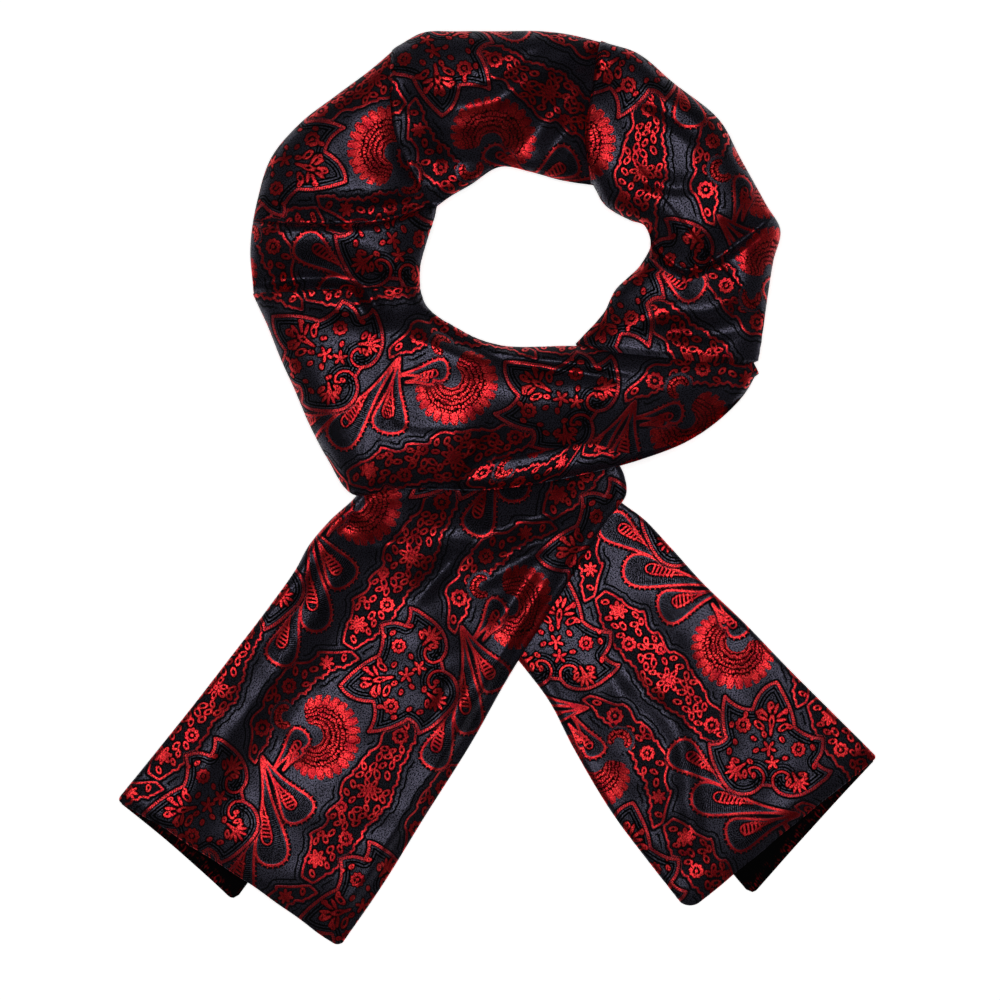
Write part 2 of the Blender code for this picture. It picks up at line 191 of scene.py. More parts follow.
# The paisley, in mm on the flat cloth. Each repeat is 131 mm on along the scarf and shifted half a
# width sideways from the one before. It is measured from the middle of a palmette.
paisley = {
    "along": 131.0, "across": 114.0,
    "halo": 1.8,        # a motif keeps this far off those that lie over it
    "reach": 62,        # from a motif's place to the farthest point of any
    "margin": 7,        # how far outside an outline its distance is worked out
    "lineMargin": 5, "figureMargin": 2,
    "inside": -0.4,     # figures are drawn this far inside an outline
    "farAway": 60.0,    # stands for a distance where nothing is near
}
kinds = ("palmette", "drop", "fan", "leaf")   # in the order in which they lie on one another
# kind, along, across, turn in degrees, length or size, width, bend
motifs = (
    ("palmette", -16, 14.5, -45.5, 61, 0, 0),
    ("drop", -43, 12, 68, 46, 20, 0),
    ("drop", -44, 16, 36, 64.5, 19.5, -4),
    ("drop", -10, 37, 8.5, 48.5, 19, -5),
    ("drop", 92, -37.5, 168, 31, 13, -3),
    ("drop", 88, -29.5, 177, 17, 7.5, 0),
    ("fan", 61, -26.5, 112, 29, 6.5, 0),
    ("fan", 60, -46, -50, 8.5, 3.2, 0),
    ("leaf", 78, 18, 1, 114, 29.5, 2),
    ("leaf", 50, -40, -11, 88, 19, -16),
)
# one side of a palmette, from its tip to its lowest petal: how far up its axis, how far out, and how far
# the stretch before it bows outwards
palmetteTips = (
    (1.0, 0, 0), (0.64, 0.215, 0.09), (0.65, 0.50, 0.12), (0.33, 0.45, 0.09), (0.255, 0.615, 0.13),
)
# on from there, the round lobe at its foot, and the curl in which the lobe ends
palmetteLobe = (
    (0.255, 0.615), (0.17, 0.585), (0.06, 0.51), (-0.035, 0.43), (-0.10, 0.33), (-0.115, 0.22),
    (-0.085, 0.12), (-0.02, 0.055),
)
palmetteCurl = (
    (-0.02, 0.055), (0.06, 0.045), (0.12, 0.085), (0.135, 0.15), (0.105, 0.20), (0.07, 0.175),
)
palmetteLean = 0.5   # how much higher its left half sits than its right
dropShape = {"belly": 0.96, "neck": 0.06, "roundness": 5}
fanShape = {
    "spread": 104,      # degrees from its middle to the end of an arm
    "droop": 0.22,      # how much shorter it is there
    "cap": 0.5,         # how round the arms' ends are
    "hollow": 96,       # degrees that the hollow reaches round
}
leafShape = {
    "blunt": 0.42,                                # a lower power makes its ends blunter
    "waist": (0.10, 5.2, 0.9),                    # how much its width varies, how often, from where
    "tooth": 1.9, "upper": 13.5, "lower": 15.0,   # depth and pitch of the saw teeth along its two sides
    "fine": (0.7, 4.6), "wave": (1.3, 19),        # height and length of the waves on them
}


def spun(points, degrees, x, y):
    cos, sin = np.cos(np.radians(degrees)), np.sin(np.radians(degrees))
    return np.column_stack([
        x + cos * points[:, 0] - sin * points[:, 1],
        y + sin * points[:, 0] + cos * points[:, 1],
    ])


def leaning(points, length):
    # a palmette leans to one side, more so towards its tip
    points = np.array(points, float)
    points[:, 0] += palmetteLean * points[:, 0] * points[:, 1]
    return points * length


def palmetteOutline(length):
    side = []
    for (fromX, fromY, _), (toX, toY, bow) in zip(palmetteTips[:-1], palmetteTips[1:]):
        share = np.linspace(0, 1, 7)[:-1]
        way = -1 if toX < fromX - 0.2 else 1   # a stretch that leads down bows the other way
        bulge = 4 * way * bow * share * (1 - share)
        x = fromX + (toX - fromX) * share - (toY - fromY) * bulge
        y = fromY + (toY - fromY) * share + (toX - fromX) * bulge
        side += list(zip(x, y))
    side += [tuple(point) for point in smoothLine(palmetteLobe, 0.045)]
    return leaning(side + [(x, -y) for x, y in side[:0:-1]], length)


def dropOutline(length, width, bend):
    # a round head on a long narrow tail
    angle = np.radians(np.arange(0, 360, 8))
    x = length * (1 - np.cos(angle)) / 2
    girth = dropShape["belly"] * np.abs(np.sin(angle / 2)) ** dropShape["roundness"] + dropShape["neck"]
    return np.column_stack([x, width * np.sin(angle) * girth + bend * (1 - x / length) ** 2])


def fanReach(angle):
    # how far out a fan reaches in a direction, as a share of its size
    away = np.minimum(np.abs(angle) / np.radians(fanShape["spread"]), 1)
    return 1 - fanShape["droop"] * away ** 3


def fanOutline(size, hollow):
    # two arms round a hollow, rounded at their ends
    spread, inner = fanShape["spread"], fanShape["hollow"]
    angle = np.radians(np.arange(-spread, spread + 1, 4.0))
    front = np.radians(np.arange(inner, -inner - 1, -8.0))
    turn = np.radians(np.arange(15, 180, 15))
    reach = size * fanReach(angle)
    half = (reach[-1] - hollow) / 2
    cap = np.column_stack([hollow + half + half * np.cos(turn), fanShape["cap"] * half * np.sin(turn)])
    return np.vstack([
        np.column_stack([reach * np.cos(angle), reach * np.sin(angle)]),
        spun(cap, spread, 0, 0),
        hollow * np.column_stack([np.cos(front), np.sin(front)]),
        spun(cap * (1, -1), -spread, 0, 0)[::-1],
    ])


def leafOutline(length, width, bend):
    # jagged in steps along both sides
    share = np.linspace(0, 1, 91)
    run = share * length
    x = length * (share - 0.5)
    y = bend * (1 - (2 * share - 1) ** 2)
    amount, often, start = leafShape["waist"]
    waist = 1 - amount + amount * np.sin(often * np.pi * share + start)
    half = width / 2 * np.sin(np.pi * (0.02 + 0.96 * share)) ** leafShape["blunt"] * waist
    (fine, fineLength), (wave, waveLength) = leafShape["fine"], leafShape["wave"]
    above = leafShape["tooth"] * ((run + 3) / leafShape["upper"] % 1) ** 2 - 0.8
    above = above + fine * np.sin(2 * np.pi * run / fineLength)
    below = 0.8 - leafShape["tooth"] * (run / leafShape["lower"] % 1) ** 2
    below = below + wave * np.sin(2 * np.pi * run / waveLength)
    fade = np.minimum(1, 8 * share * (1 - share))
    return np.vstack([
        np.column_stack([x, y + half + above * fade]),
        np.column_stack([x, y - half + below * fade])[::-1],
    ])


def outlineOf(kind, size, width, bend):
    if kind == "palmette":
        return palmetteOutline(size)
    if kind == "drop":
        return dropOutline(size, width, bend)
    if kind == "fan":
        return fanOutline(size, width)
    return leafOutline(size, width, bend)


def roundFrom(x, y, away, heading):
    return x + away * np.cos(np.radians(heading)), y + away * np.sin(np.radians(heading))


def daisy(x, y, reach, count, turn=0):
    # petals standing out from a small eye, as open ovals where it is large
    long, girth, style = (0.28, 0.16, "oval") if reach > 5 else (0.20, 0.10, "seed")
    found = [(x, y, 0, 0.16 * reach, 0.16 * reach, "seed")]
    for i in range(count):
        heading = turn + 360 * i / count
        px, py = roundFrom(x, y, 0.66 * reach, heading)
        found.append((px, py, heading, long * reach, girth * reach, style))
    return found


def wheel(x, y, reach):
    # a scalloped ring round a dark eye
    return [(x, y, 0, reach, reach, "ring"), (x, y, 0, 0.12 * reach, 0.12 * reach, "seed")]


# a carnation's petals and its stem: heading, how far out
sprigPetals = ((-75, 0.7), (-45, 0.85), (-15, 0.95), (15, 0.95), (45, 0.85), (75, 0.7), (180, 0.6))


def sprig(x, y, reach, turn):
    # a carnation seen from the side, with a leaf on both sides
    found = [(x, y, turn, 0.30 * reach, 0.12 * reach, "oval")]
    for heading, away in sprigPetals:
        px, py = roundFrom(x, y, 0.82 * away * reach, turn + heading)
        found.append((px, py, turn + heading, 0.17 * reach, 0.05 * reach, "seed"))
    for heading in (-110, 110):
        px, py = roundFrom(x, y, 0.75 * reach, turn + heading)
        found.append((px, py, turn + heading / 2, 0.28 * reach, 0.15 * reach, "oval"))
    return found


# what stands inside a palmette 61 mm long: figure, how far up its axis, how far out, reach, turn
palmetteFlowers = (
    ("sprig", 37, 1, 10.5, 0), ("sprig", 3, -17.5, 7.0, 215), ("sprig", 7, 19, 7.0, 130),
    ("wheel", 33.5, 18, 5.2, 0), ("wheel", 22, -16.5, 4.8, 0),
    ("daisy", 12.5, -1.5, 4.2, 10), ("daisy", 21, 1.5, 4.6, 40),
)
# and the single ovals between them: the same without the figure
palmetteOvals = (
    (47, 2, 1.7, 20), (17, 25, 1.5, 0), (26, 11, 1.3, 60), (30, -24, 1.2, 0), (27, -6, 1.4, 40),
    (40, 17, 1.2, 0), (16, -9, 1.2, 100), (23, 22, 1.2, 20), (13, -27, 1.3, 0), (44, -7, 1.3, 0),
    (19, 9, 1.3, 130), (24, -25, 1.4, 30), (35, -10, 1.4, 70), (29, 5, 1.5, 20), (42, 9, 1.5, 110),
    (33, 25, 1.3, 0), (12, 12, 1.4, 60), (4, 9, 1.3, 0),
)
# the flowers of a leaf: share of its length, share of its width, reach, sort
wideLeafFlowers = (
    (-0.40, 0.0, 5.6, "wheel"), (-0.07, 0.02, 7.6, "daisy"), (0.21, 0.16, 5.0, "wheel"),
    (0.38, -0.1, 5.4, "daisy"), (0.08, -0.28, 4.0, "wheel"),
)
narrowLeafFlowers = ((-0.33, 0.0, 4.4, "daisy"), (-0.03, 0.0, 5.2, "wheel"), (0.30, 0.03, 5.8, "wheel"))
leafFilling = {
    "pitch": 5.9, "row": 5.5,                  # mm between its ovals, along it and across
    "aside": (0.9, 0.6), "turn": 60,           # how far they stray from that, and turn
    "long": (1.8, 2.6), "girth": 0.62,
    "clear": 1.9, "deep": 2.4,                 # mm that they keep off flowers, and off the leaf's edge
}
innerDrop = {"length": 0.50, "width": 0.32, "from": 0.30}   # the smaller drop in a drop, as shares of it


def innerMiddle(share, width, bend):
    return bend * 0.9 * (1 - share) - 0.09 * width + bend * 0.3 * (1 - share) ** 2


def palmetteFigures():
    found = [(x, y, turn, reach, 0.7 * reach, "oval") for x, y, reach, turn in palmetteOvals]
    for figure, x, y, reach, turn in palmetteFlowers:
        if figure == "sprig":
            found += sprig(x, y, reach, turn)
        elif figure == "wheel":
            found += wheel(x, y, reach)
        else:
            found += daisy(x, y, reach, 5, turn)
    return found


def dropRungs(size, width, bend):
    # between the sides of the smaller drop
    found = []
    for share in np.arange(0.54, 0.76, 2.4 / size):
        long = 0.065 * width * min(1, 2.6 * (share - 0.26))
        found.append((share * size, innerMiddle(share, width, bend), 80, long, 0.1, "seed"))
    return found


def leafFigures(size, width, bend):
    draw = np.random.default_rng(4)
    fill = leafFilling
    found, places, ovals = [], [], []
    for along, across, reach, sort in (wideLeafFlowers if width > 24 else narrowLeafFlowers):
        x = size * along
        y = bend * (1 - (2 * along) ** 2) + width * across
        places.append((x, y, reach))
        found += wheel(x, y, reach) if sort == "wheel" else daisy(x, y, reach, 7, 20)
    rows = max(2, int(round(width / fill["row"])))
    for i in range(int(size / fill["pitch"])):
        for j in range(rows):
            share = (i + 0.5 + 0.4 * (j % 2)) * fill["pitch"] / size
            x = size * (share - 0.5) + draw.uniform(-fill["aside"][0], fill["aside"][0])
            y = bend * (1 - (2 * share - 1) ** 2) + ((j + 0.5) / rows - 0.5) * width * 0.84
            y += draw.uniform(-fill["aside"][1], fill["aside"][1])
            heading = draw.uniform(-fill["turn"], fill["turn"])
            long = draw.uniform(*fill["long"])
            if all(np.hypot(x - fx, y - fy) > reach + fill["clear"] for fx, fy, reach in places):
                ovals.append((x, y, heading, long, fill["girth"] * long, "oval"))
    outline = leafOutline(size, width, bend)
    depth = -nearestOn(outline, True, *np.array([oval[:2] for oval in ovals]).T)[0]
    return found + [oval for oval, deep in zip(ovals, depth) if deep > fill["deep"]]


def smallFigures(kind, size, width, bend):
    # what fills a motif: x, y, turn, half length, half width, style
    if kind == "palmette":
        return palmetteFigures()
    if kind == "drop":
        return dropRungs(size, width, bend)
    return leafFigures(size, width, bend) if kind == "leaf" else []


def innerLines(kind, size, width, bend):
    # lines inside a motif: a palmette's curled foot, and the smaller drop within a drop
    if kind == "palmette":
        curl = smoothLine(palmetteCurl, 0.02)
        return [leaning(curl * (1, way), size) for way in (1, -1)]
    if kind == "drop":
        small = dropOutline(innerDrop["length"] * size, innerDrop["width"] * width, 0)
        small[:, 0] += innerDrop["from"] * size
        small[:, 1] += innerMiddle(small[:, 0] / size, width, bend)
        return [np.vstack([small, small[:1]])]
    return []


def figureAway(lx, ly, length, girth, style):
    # distance from a small figure's own line or body
    if style == "ring":
        petal = 0.55 + 0.45 * np.cos(9 * np.arctan2(ly, lx))
        return np.maximum(np.abs(np.hypot(lx, ly) - 0.66 * length) - 0.20 * length * petal, 0)
    away = (np.hypot(lx / length, ly / girth) - 1) * girth
    return np.abs(away) if style == "oval" else np.maximum(away, 0)


def paisleyRepeats(t, n):
    # where the repeats that touch these places are centred
    reach = paisley["reach"]
    found = []
    firstRow = int(np.floor((t.min() - reach) / paisley["along"])) - 1
    for row in range(firstRow, int((t.max() + reach) // paisley["along"]) + 2):
        aside = paisley["across"] / 2 * (row % 2)
        first = int(np.floor((n.min() - reach - aside) / paisley["across"]))
        last = int((n.max() + reach - aside) // paisley["across"]) + 1
        for column in range(first, last + 1):
            found.append((row * paisley["along"], column * paisley["across"] + aside))
    return found


def paisleyAt(t, n):
    # what the weave is at each place of the flat cloth, as distances that the material turns to colour
    edge, small, inner = (np.full(t.shape, paisley["farAway"]) for _ in range(3))
    run = np.zeros(t.shape)
    kind = np.full(t.shape, len(kinds) - 1)
    repeats = paisleyRepeats(t, n)

    def closeTo(points, margin):
        low, high = points.min(axis=0) - margin, points.max(axis=0) + margin
        return (t > low[0]) & (t < high[0]) & (n > low[1]) & (n < high[1])

    def local(near, turn, along, across):
        cos, sin = np.cos(np.radians(turn)), np.sin(np.radians(turn))
        px, py = t[near] - along, n[near] - across
        return cos * px + sin * py, cos * py - sin * px

    for rank, name in enumerate(kinds):
        free = edge > paisley["halo"]
        for which, along, across, turn, size, width, bend in motifs:
            if which != name:
                continue
            outline = spun(outlineOf(which, size, width, bend), turn, along, across)
            for shiftT, shiftN in repeats:
                points = outline + (shiftT, shiftN)
                near = closeTo(points, paisley["margin"]) & free
                if not near.any():
                    continue
                away, place = nearestOn(points, True, t[near], n[near])
                lx, ly = local(near, turn, along + shiftT, across + shiftN)
                own = np.full(lx.shape, paisley["farAway"])
                if which == "fan":
                    angle = np.arctan2(ly, lx)
                    own = np.hypot(lx, ly) / fanReach(angle)
                    place = angle * size
                if which == "drop":
                    own = lx / size
                closer = away < edge[near]
                for values, found in ((edge, away), (run, place), (inner, own), (kind, rank)):
                    values[near] = np.where(closer, found, values[near])
    for which, along, across, turn, size, width, bend in motifs:
        own = (kind == kinds.index(which)) & (edge < paisley["inside"])
        lines = innerLines(which, size, width, bend)
        figures = smallFigures(which, size, width, bend)
        for shiftT, shiftN in repeats:
            for line in lines:
                points = spun(line, turn, along + shiftT, across + shiftN)
                near = closeTo(points, paisley["lineMargin"]) & own
                if not near.any():
                    continue
                away = np.abs(nearestOn(points, False, t[near], n[near])[0])
                values = inner if which == "palmette" else small
                values[near] = np.minimum(values[near], away)
            for x, y, spin, length, girth, style in figures:
                centre = spun(np.array([[x, y]]), turn, along + shiftT, across + shiftN)
                near = closeTo(centre, length + paisley["figureMargin"]) & own
                if not near.any():
                    continue
                lx, ly = local(near, turn + spin, *centre[0])
                small[near] = np.minimum(small[near], figureAway(lx, ly, length, girth, style))
    return edge, run, small, inner, kind


def gridPiece(name, alongCells, acrossCells, flat):
    # a flat sheet at the size of its cut, to be moved into shape
    bpy.ops.object.select_all(action="DESELECT")
    bpy.ops.mesh.primitive_grid_add(x_subdivisions=acrossCells, y_subdivisions=alongCells, size=1)
    piece = bpy.context.object
    piece.name = name
    piece.data.name = name
    piece.scale = (flat[0], flat[1], 1)
    bpy.ops.object.transform_apply(location=True, rotation=True, scale=True)
    return piece


def shapeSheet(name, look, points, cloth, flat):
    # points and cloth places are (rows along, columns across), in mm
    rows, columns = points.shape[:2]
    piece = gridPiece(name, rows - 1, columns - 1, flat)
    mesh = piece.data
    if len(mesh.vertices) != rows * columns:
        raise ValueError(f"{name}: the grid has {len(mesh.vertices)} points, not {rows * columns}")
    placed = points.reshape(-1, 3).copy()
    placed[:, :2] += tableToOrigin
    mesh.vertices.foreach_set("co", (placed * mm).astype(np.float32).ravel())
    corner = np.zeros(len(mesh.loops), dtype=np.int32)
    mesh.loops.foreach_get("vertex_index", corner)
    flatPlace = cloth.reshape(-1, 2)
    mesh.uv_layers.active.data.foreach_set("uv", (flatPlace[corner] * mm).astype(np.float32).ravel())
    mesh.update()
    normals = np.zeros(len(mesh.polygons) * 3, dtype=np.float32)
    mesh.polygons.foreach_get("normal", normals)
    if normals.reshape(-1, 3)[:, 2].sum() < 0:
        mesh.flip_normals()
    mesh.shade_smooth()
    mesh.materials.clear()
    mesh.materials.append(look)
    return piece


def weavePaisley(piece, cloth):
    flatPlace = cloth.reshape(-1, 2)
    edge, run, small, inner, kind = paisleyAt(flatPlace[:, 0], flatPlace[:, 1])
    mesh = piece.data
    figure = mesh.attributes.new("figure", "FLOAT_VECTOR", "POINT")
    figure.data.foreach_set("vector", np.column_stack([edge, run, small]).astype(np.float32).ravel())
    which = mesh.attributes.new("kinds", "FLOAT_COLOR", "POINT")
    which.data.foreach_set("color", np.eye(4)[kind].astype(np.float32).ravel())
    within = mesh.attributes.new("inner", "FLOAT", "POINT")
    within.data.foreach_set("value", inner.astype(np.float32))


def evenAcross(plan, height, extra, columns):
    # every section read again at even distances over its own length
    points = np.concatenate([plan, height[..., None]], axis=2)
    gaps = np.linalg.norm(np.diff(points, axis=1), axis=2)
    lengths = np.concatenate([np.zeros((len(points), 1)), np.cumsum(gaps, axis=1)], axis=1)
    out = np.zeros((len(points), columns, 3))
    moved = np.zeros((len(points), columns))
    for i in range(len(points)):
        places = np.linspace(0, lengths[i, -1], columns)
        for axis in range(3):
            out[i, :, axis] = np.interp(places, lengths[i], points[i, :, axis])
        moved[i] = np.interp(places, lengths[i], extra[i])
    return out, moved, lengths[:, -1].mean()


def flatPlaces(points, acrossWay, moved, facets):
    # where each point lies on the flat cloth. A facet is a stretch of cloth between folds: the side of a
    # line that it is on, the heading of the pattern in degrees, and the place of one palmette.
    spread = points[..., :2] + acrossWay * moved[..., None]
    cloth = np.zeros(spread.shape)
    for facet in facets:
        heading = np.radians(facet["heading"])
        away = spread - np.array(facet["palmette"])
        t = away[..., 0] * np.cos(heading) + away[..., 1] * np.sin(heading)
        n = away[..., 1] * np.cos(heading) - away[..., 0] * np.sin(heading)
        placed = np.stack([t, n], axis=-1)
        if "beyond" in facet:
            line = smoothLine(facet["beyond"], crease["pitch"])
            side = nearestOn(line, False, points[..., 0], points[..., 1])[0]
            placed = np.where((side > 0)[..., None], placed, cloth)
        cloth = placed
    return cloth


def addRows(points, cloth, end, rows):
    # more rows past one end of a sheet. Each is made from the last row and the way out of the sheet: how
    # far every point moves, the row's heights, and how far on it lies on the cloth.
    last, before = (0, 1) if end == "start" else (-1, -2)
    edge = points[last]
    way = (edge - points[before])[:, :2].mean(axis=0)
    way /= np.linalg.norm(way)
    more, moreCloth = [], []
    for moves, heights, further in rows(edge, way):
        more.append(np.column_stack([edge[:, :2] + moves, heights]))
        moreCloth.append(cloth[last] + way * further)
    if end == "start":
        return np.concatenate([more[::-1], points]), np.concatenate([moreCloth[::-1], cloth])
    return np.concatenate([points, more]), np.concatenate([cloth, moreCloth])


lipUneven = {"amount": 0.35, "lengths": (6.0, 9.0), "fade": 0.15}


def lipRows(lip):
    # rows that roll over a neighbour, or a hem, and back under
    def rows(edge, way):
        drop = np.minimum(lip["drop"], 0.55 * edge[:, 2])
        alongX, alongY = lipUneven["lengths"]
        waves = np.sin(edge[:, 0] / alongX + 1.0) * np.sin(edge[:, 1] / alongY)
        fade = fadeEnds(np.linspace(0, 1, len(edge)), lipUneven["fade"])
        uneven = (1 + lipUneven["amount"] * waves) * fade
        for turn in np.radians(lip["turns"]):
            moves = way * (lip["over"] * np.sin(turn) * uneven)[:, None]
            yield moves, edge[:, 2] - drop * (1 - np.cos(turn)) / 2, lip["over"] * turn
    return rows


underFalls = {"narrows": 0.02, "sinks": 0.012}   # for each mm that it runs on


def underRows(reach):
    # rows that run on under a neighbour
    def rows(edge, way):
        inwards = edge[:, :2].mean(axis=0) - edge[:, :2]
        for step in np.arange(1, reach + 1):
            moves = way * step + inwards * underFalls["narrows"] * step
            yield moves, edge[:, 2] * (1 - underFalls["sinks"] * step), step
    return rows


# half width, rise, points along the crease, in order: back of the neck, right side, left side, front
ringCreases = (
    (6, 3.0, ((-54, 228), (-25, 228), (0, 233), (22, 245), (47, 260))),
    (4, -2.2, ((-50, 238), (-20, 240), (0, 246), (20, 258), (44, 270))),
    (5, -2, ((-66, 246), (-52, 230), (-40, 218))),
    (6, 2.5, ((22, 194), (34, 208), (46, 222), (54, 238))),
    (4.5, -2.5, ((76, 236), (98, 227), (112, 216), (126, 204))),
    (5, -2.5, ((74, 193), (90, 184), (108, 181), (126, 180))),
    (7, 3.5, ((60, 84), (84, 101), (104, 106), (126, 108), (142, 118), (156, 138))),
    (7, -3.5, ((80, 90), (104, 96), (124, 94), (144, 98), (162, 106))),
    (4, -2.2, ((-96, 168), (-60, 172), (-34, 182))),
    (5, 2.5, ((-116, 132), (-96, 128), (-80, 120), (-60, 112))),
    (8, -4, ((-136, 112), (-108, 113), (-90, 108), (-72, 106), (-46, 110))),
    (6.5, 3, ((-74, 97), (-44, 90), (-16, 81), (8, 78), (32, 80))),
    (5, -1.5, ((-72, 48), (-44, 39), (-10, 44))),
    (14, 2, ((-106, 18), (-70, 26), (-30, 40), (16, 54))),
)
# a fold that is steep on one side and falls away over about two centimetres on the other
foldAbove = (
    (-30, 0), (-16, 0), (-6, 0), (-2, -0.4), (0, -2.4), (2, -6.8), (5, -6.0), (10, -3.8), (15, -1.4),
    (20, 0.2), (26, 0.6), (34, 0.2), (42, 0), (60, 0),
)
foldBelow = (
    (-44, 0), (-34, 0), (-29, -1), (-26, -6), (-23, -9.4), (-18, -7.6), (-12, -4.8), (-6, -1.8),
    (0, 0.4), (8, 0.8), (16, 0), (30, 0),
)
# each swell: height at distances beside its line, then the line's points
ringSwells = (
    # the valley at the back of the neck, and the ridge above it
    (((-30, -4), (-22, -5), (-14, -7.4), (-6, -8.8), (0, -6.4), (6, -2.8), (12, 0.9), (18, 2.6),
      (28, 2.4), (42, 1.2), (56, 0.3), (66, 0), (80, 0)),
     ((-72, 208), (-50, 205), (-30, 203), (-6, 205), (12, 212), (27, 230), (42, 246), (66, 260),
      (80, 268))),
    # the left side's two folds
    (foldAbove, ((-160, 160), (-141, 159), (-99, 158), (-66, 160), (-40, 170), (-24, 178))),
    (foldBelow, ((-170, 144), (-146, 147), (-118, 150), (-90, 150), (-68, 142), (-54, 124), (-44, 104))),
    # the right side's fold
    (foldAbove,
     ((76, 168), (90, 151), (102, 136), (112, 130), (130, 136), (148, 148), (163, 160), (178, 172))),
    # the crease from the neck hole into the front band
    (((-30, 0), (-16, 0), (-11, -0.6), (-6, -2.4), (-2, -4.4), (0, -3), (2, -0.6), (5, 0), (12, 0),
      (30, 0)),
     ((-60, 116), (-46, 109), (-28, 96), (-9, 85), (9, 79), (28, 76), (56, 72), (90, 66))),
    # the front band falls away towards its lower right
    (((-60, -9), (-46, -11.5), (-34, -12.5), (-22, -9.5), (-10, -5), (2, -0.8), (12, 0), (30, 0)),
     ((-16, 66), (0, 60), (20, 50), (60, 54), (110, 62), (156, 80))),
    # and sinks a little at its lower left
    (((-40, -5), (-28, -5.5), (-14, -4.5), (0, -1), (8, 0), (20, 0)),
     ((-84, 10), (-20, 22), (20, 32), (70, 40))),
)


def rungsOf(part, step):
    # the scarf's sections: the whole table, where each starts, and its way and width to its other end
    table = throughRows(part["rungs"], step)
    run = table[:, 2:4] - table[:, 0:2]
    return table, table[:, 0:2], run, np.linalg.norm(run, axis=1)[:, None]


def bowedPlan(start, run, across, bow):
    # a section's points seen from above, at distances across it. Its line bows forward in the middle.
    width = np.linalg.norm(run, axis=1)[:, None]
    share = across / width
    forward = np.column_stack([-run[:, 1], run[:, 0]])[:, None] / width[..., None]
    plan = start[:, None] + run[:, None] * share[..., None]
    return plan + forward * (bow * 4 * share * (1 - share))[..., None]


def clothOver(across, height, middle):
    # how much longer the cloth is than its plan, from the middle of each section outwards
    steps = np.hypot(np.diff(across, axis=1), np.diff(height, axis=1))
    arc = np.concatenate([np.zeros((len(across), 1)), np.cumsum(steps, axis=1)], axis=1)
    extra = (arc - arc[:, middle:middle + 1]) - (across - across[:, middle:middle + 1])
    return extra, int(arc[:, -1].mean() / scarf["step"])


def declare(piece, node):
    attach(piece, "root")
    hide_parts(node)


def finishSheet(part, look, points, cloth, girth):
    piece = shapeSheet(part["name"], look, points, cloth, part["flat"])
    weavePaisley(piece, cloth)
    declare(piece, part["node"])
    print(part["name"], points.shape, "girth", round(girth, 1))


def ringSheet(part, look):
    table, start, run, width = rungsOf(part, scarf["step"])
    bow, crown, tuck = table[:, 4:5], table[:, 5:6], table[:, 6:7]
    # its sides, of which the outer one can be tucked
    plain, tucked = smoothLine(plainSide, 0.8), smoothLine(tuckedSide, 1.6)
    tucked = smoothRead(tucked, np.linspace(0, 1, len(tucked)), np.linspace(0, 1, len(plain)))
    sideHeight = plain[:, 1] * np.minimum(1, crown / scarf["fullCrown"])
    inset = plain[:, 0] * np.minimum(1, width / scarf["fullWidth"])
    outerInset = inset + tuck * (tucked[:, 0] - inset)
    outerHeight = sideHeight + tuck * (tucked[:, 1] - sideHeight)
    # its top, with more points towards the shoulders
    even = np.linspace(0, 1, scarf["sectionPoints"])[1:-1]
    share = (even + (1 - np.cos(np.pi * even)) / 2) / 2
    loft = (1 - np.abs(2 * share - 1) ** scarf["loftFlatness"]) ** scarf["loftRounding"]
    shoulder = sideHeight[:, -1:] + (outerHeight[:, -1:] - sideHeight[:, -1:]) * easeStep(share)
    across = np.concatenate([inset, share * width, width - outerInset[:, ::-1]], axis=1)
    plan = bowedPlan(start, run, across, bow)
    top = slice(inset.shape[1], inset.shape[1] + len(share))
    swells = ringSwells + part.get("swells", ())
    folded = foldHeights(plan[:, top, 0], plan[:, top, 1], ringCreases, swells)
    crownHeight = shoulder + (crown - shoulder) * loft + folded * loft ** 0.5
    crownHeight = np.maximum(crownHeight, scarf["lowestTop"])
    height = np.concatenate([sideHeight, crownHeight, outerHeight[:, ::-1]], axis=1)
    extra, columns = clothOver(across, height, inset.shape[1] + len(share) // 2)
    points, moved, girth = evenAcross(plan, height, extra, columns)
    cloth = flatPlaces(points, (run / width)[:, None], moved, part["facets"])
    for end, lip in part.get("lips", {}).items():
        points, cloth = addRows(points, cloth, end, lipRows(lip))
    for end, reach in part.get("unders", {}).items():
        points, cloth = addRows(points, cloth, end, underRows(reach))
    finishSheet(part, look, points, cloth, girth)


def linear(hexColour):
    parts = [int(hexColour[i:i + 2], 16) / 255 for i in (1, 3, 5)]
    return tuple(c / 12.92 if c <= 0.04045 else ((c + 0.055) / 1.055) ** 2.4 for c in parts) + (1.0,)


def addNode(tree, kind, settings=None, **inputs):
    # one node, its settings, and for each input a value or the socket that feeds it
    node = tree.nodes.new(kind)
    for key, value in (settings or {}).items():
        setattr(node, key, value)
    for key, value in inputs.items():
        socket = node.inputs[int(key[1:])] if key[1:].isdigit() else node.inputs[key.replace("_", " ")]
        if isinstance(value, bpy.types.NodeSocket):
            tree.links.new(value, socket)
        else:
            socket.default_value = value
    return node


def startMaterial(name):
    look = bpy.data.materials.new(name)
    look.use_nodes = True
    return look, look.node_tree, look.node_tree.nodes["Principled BSDF"]


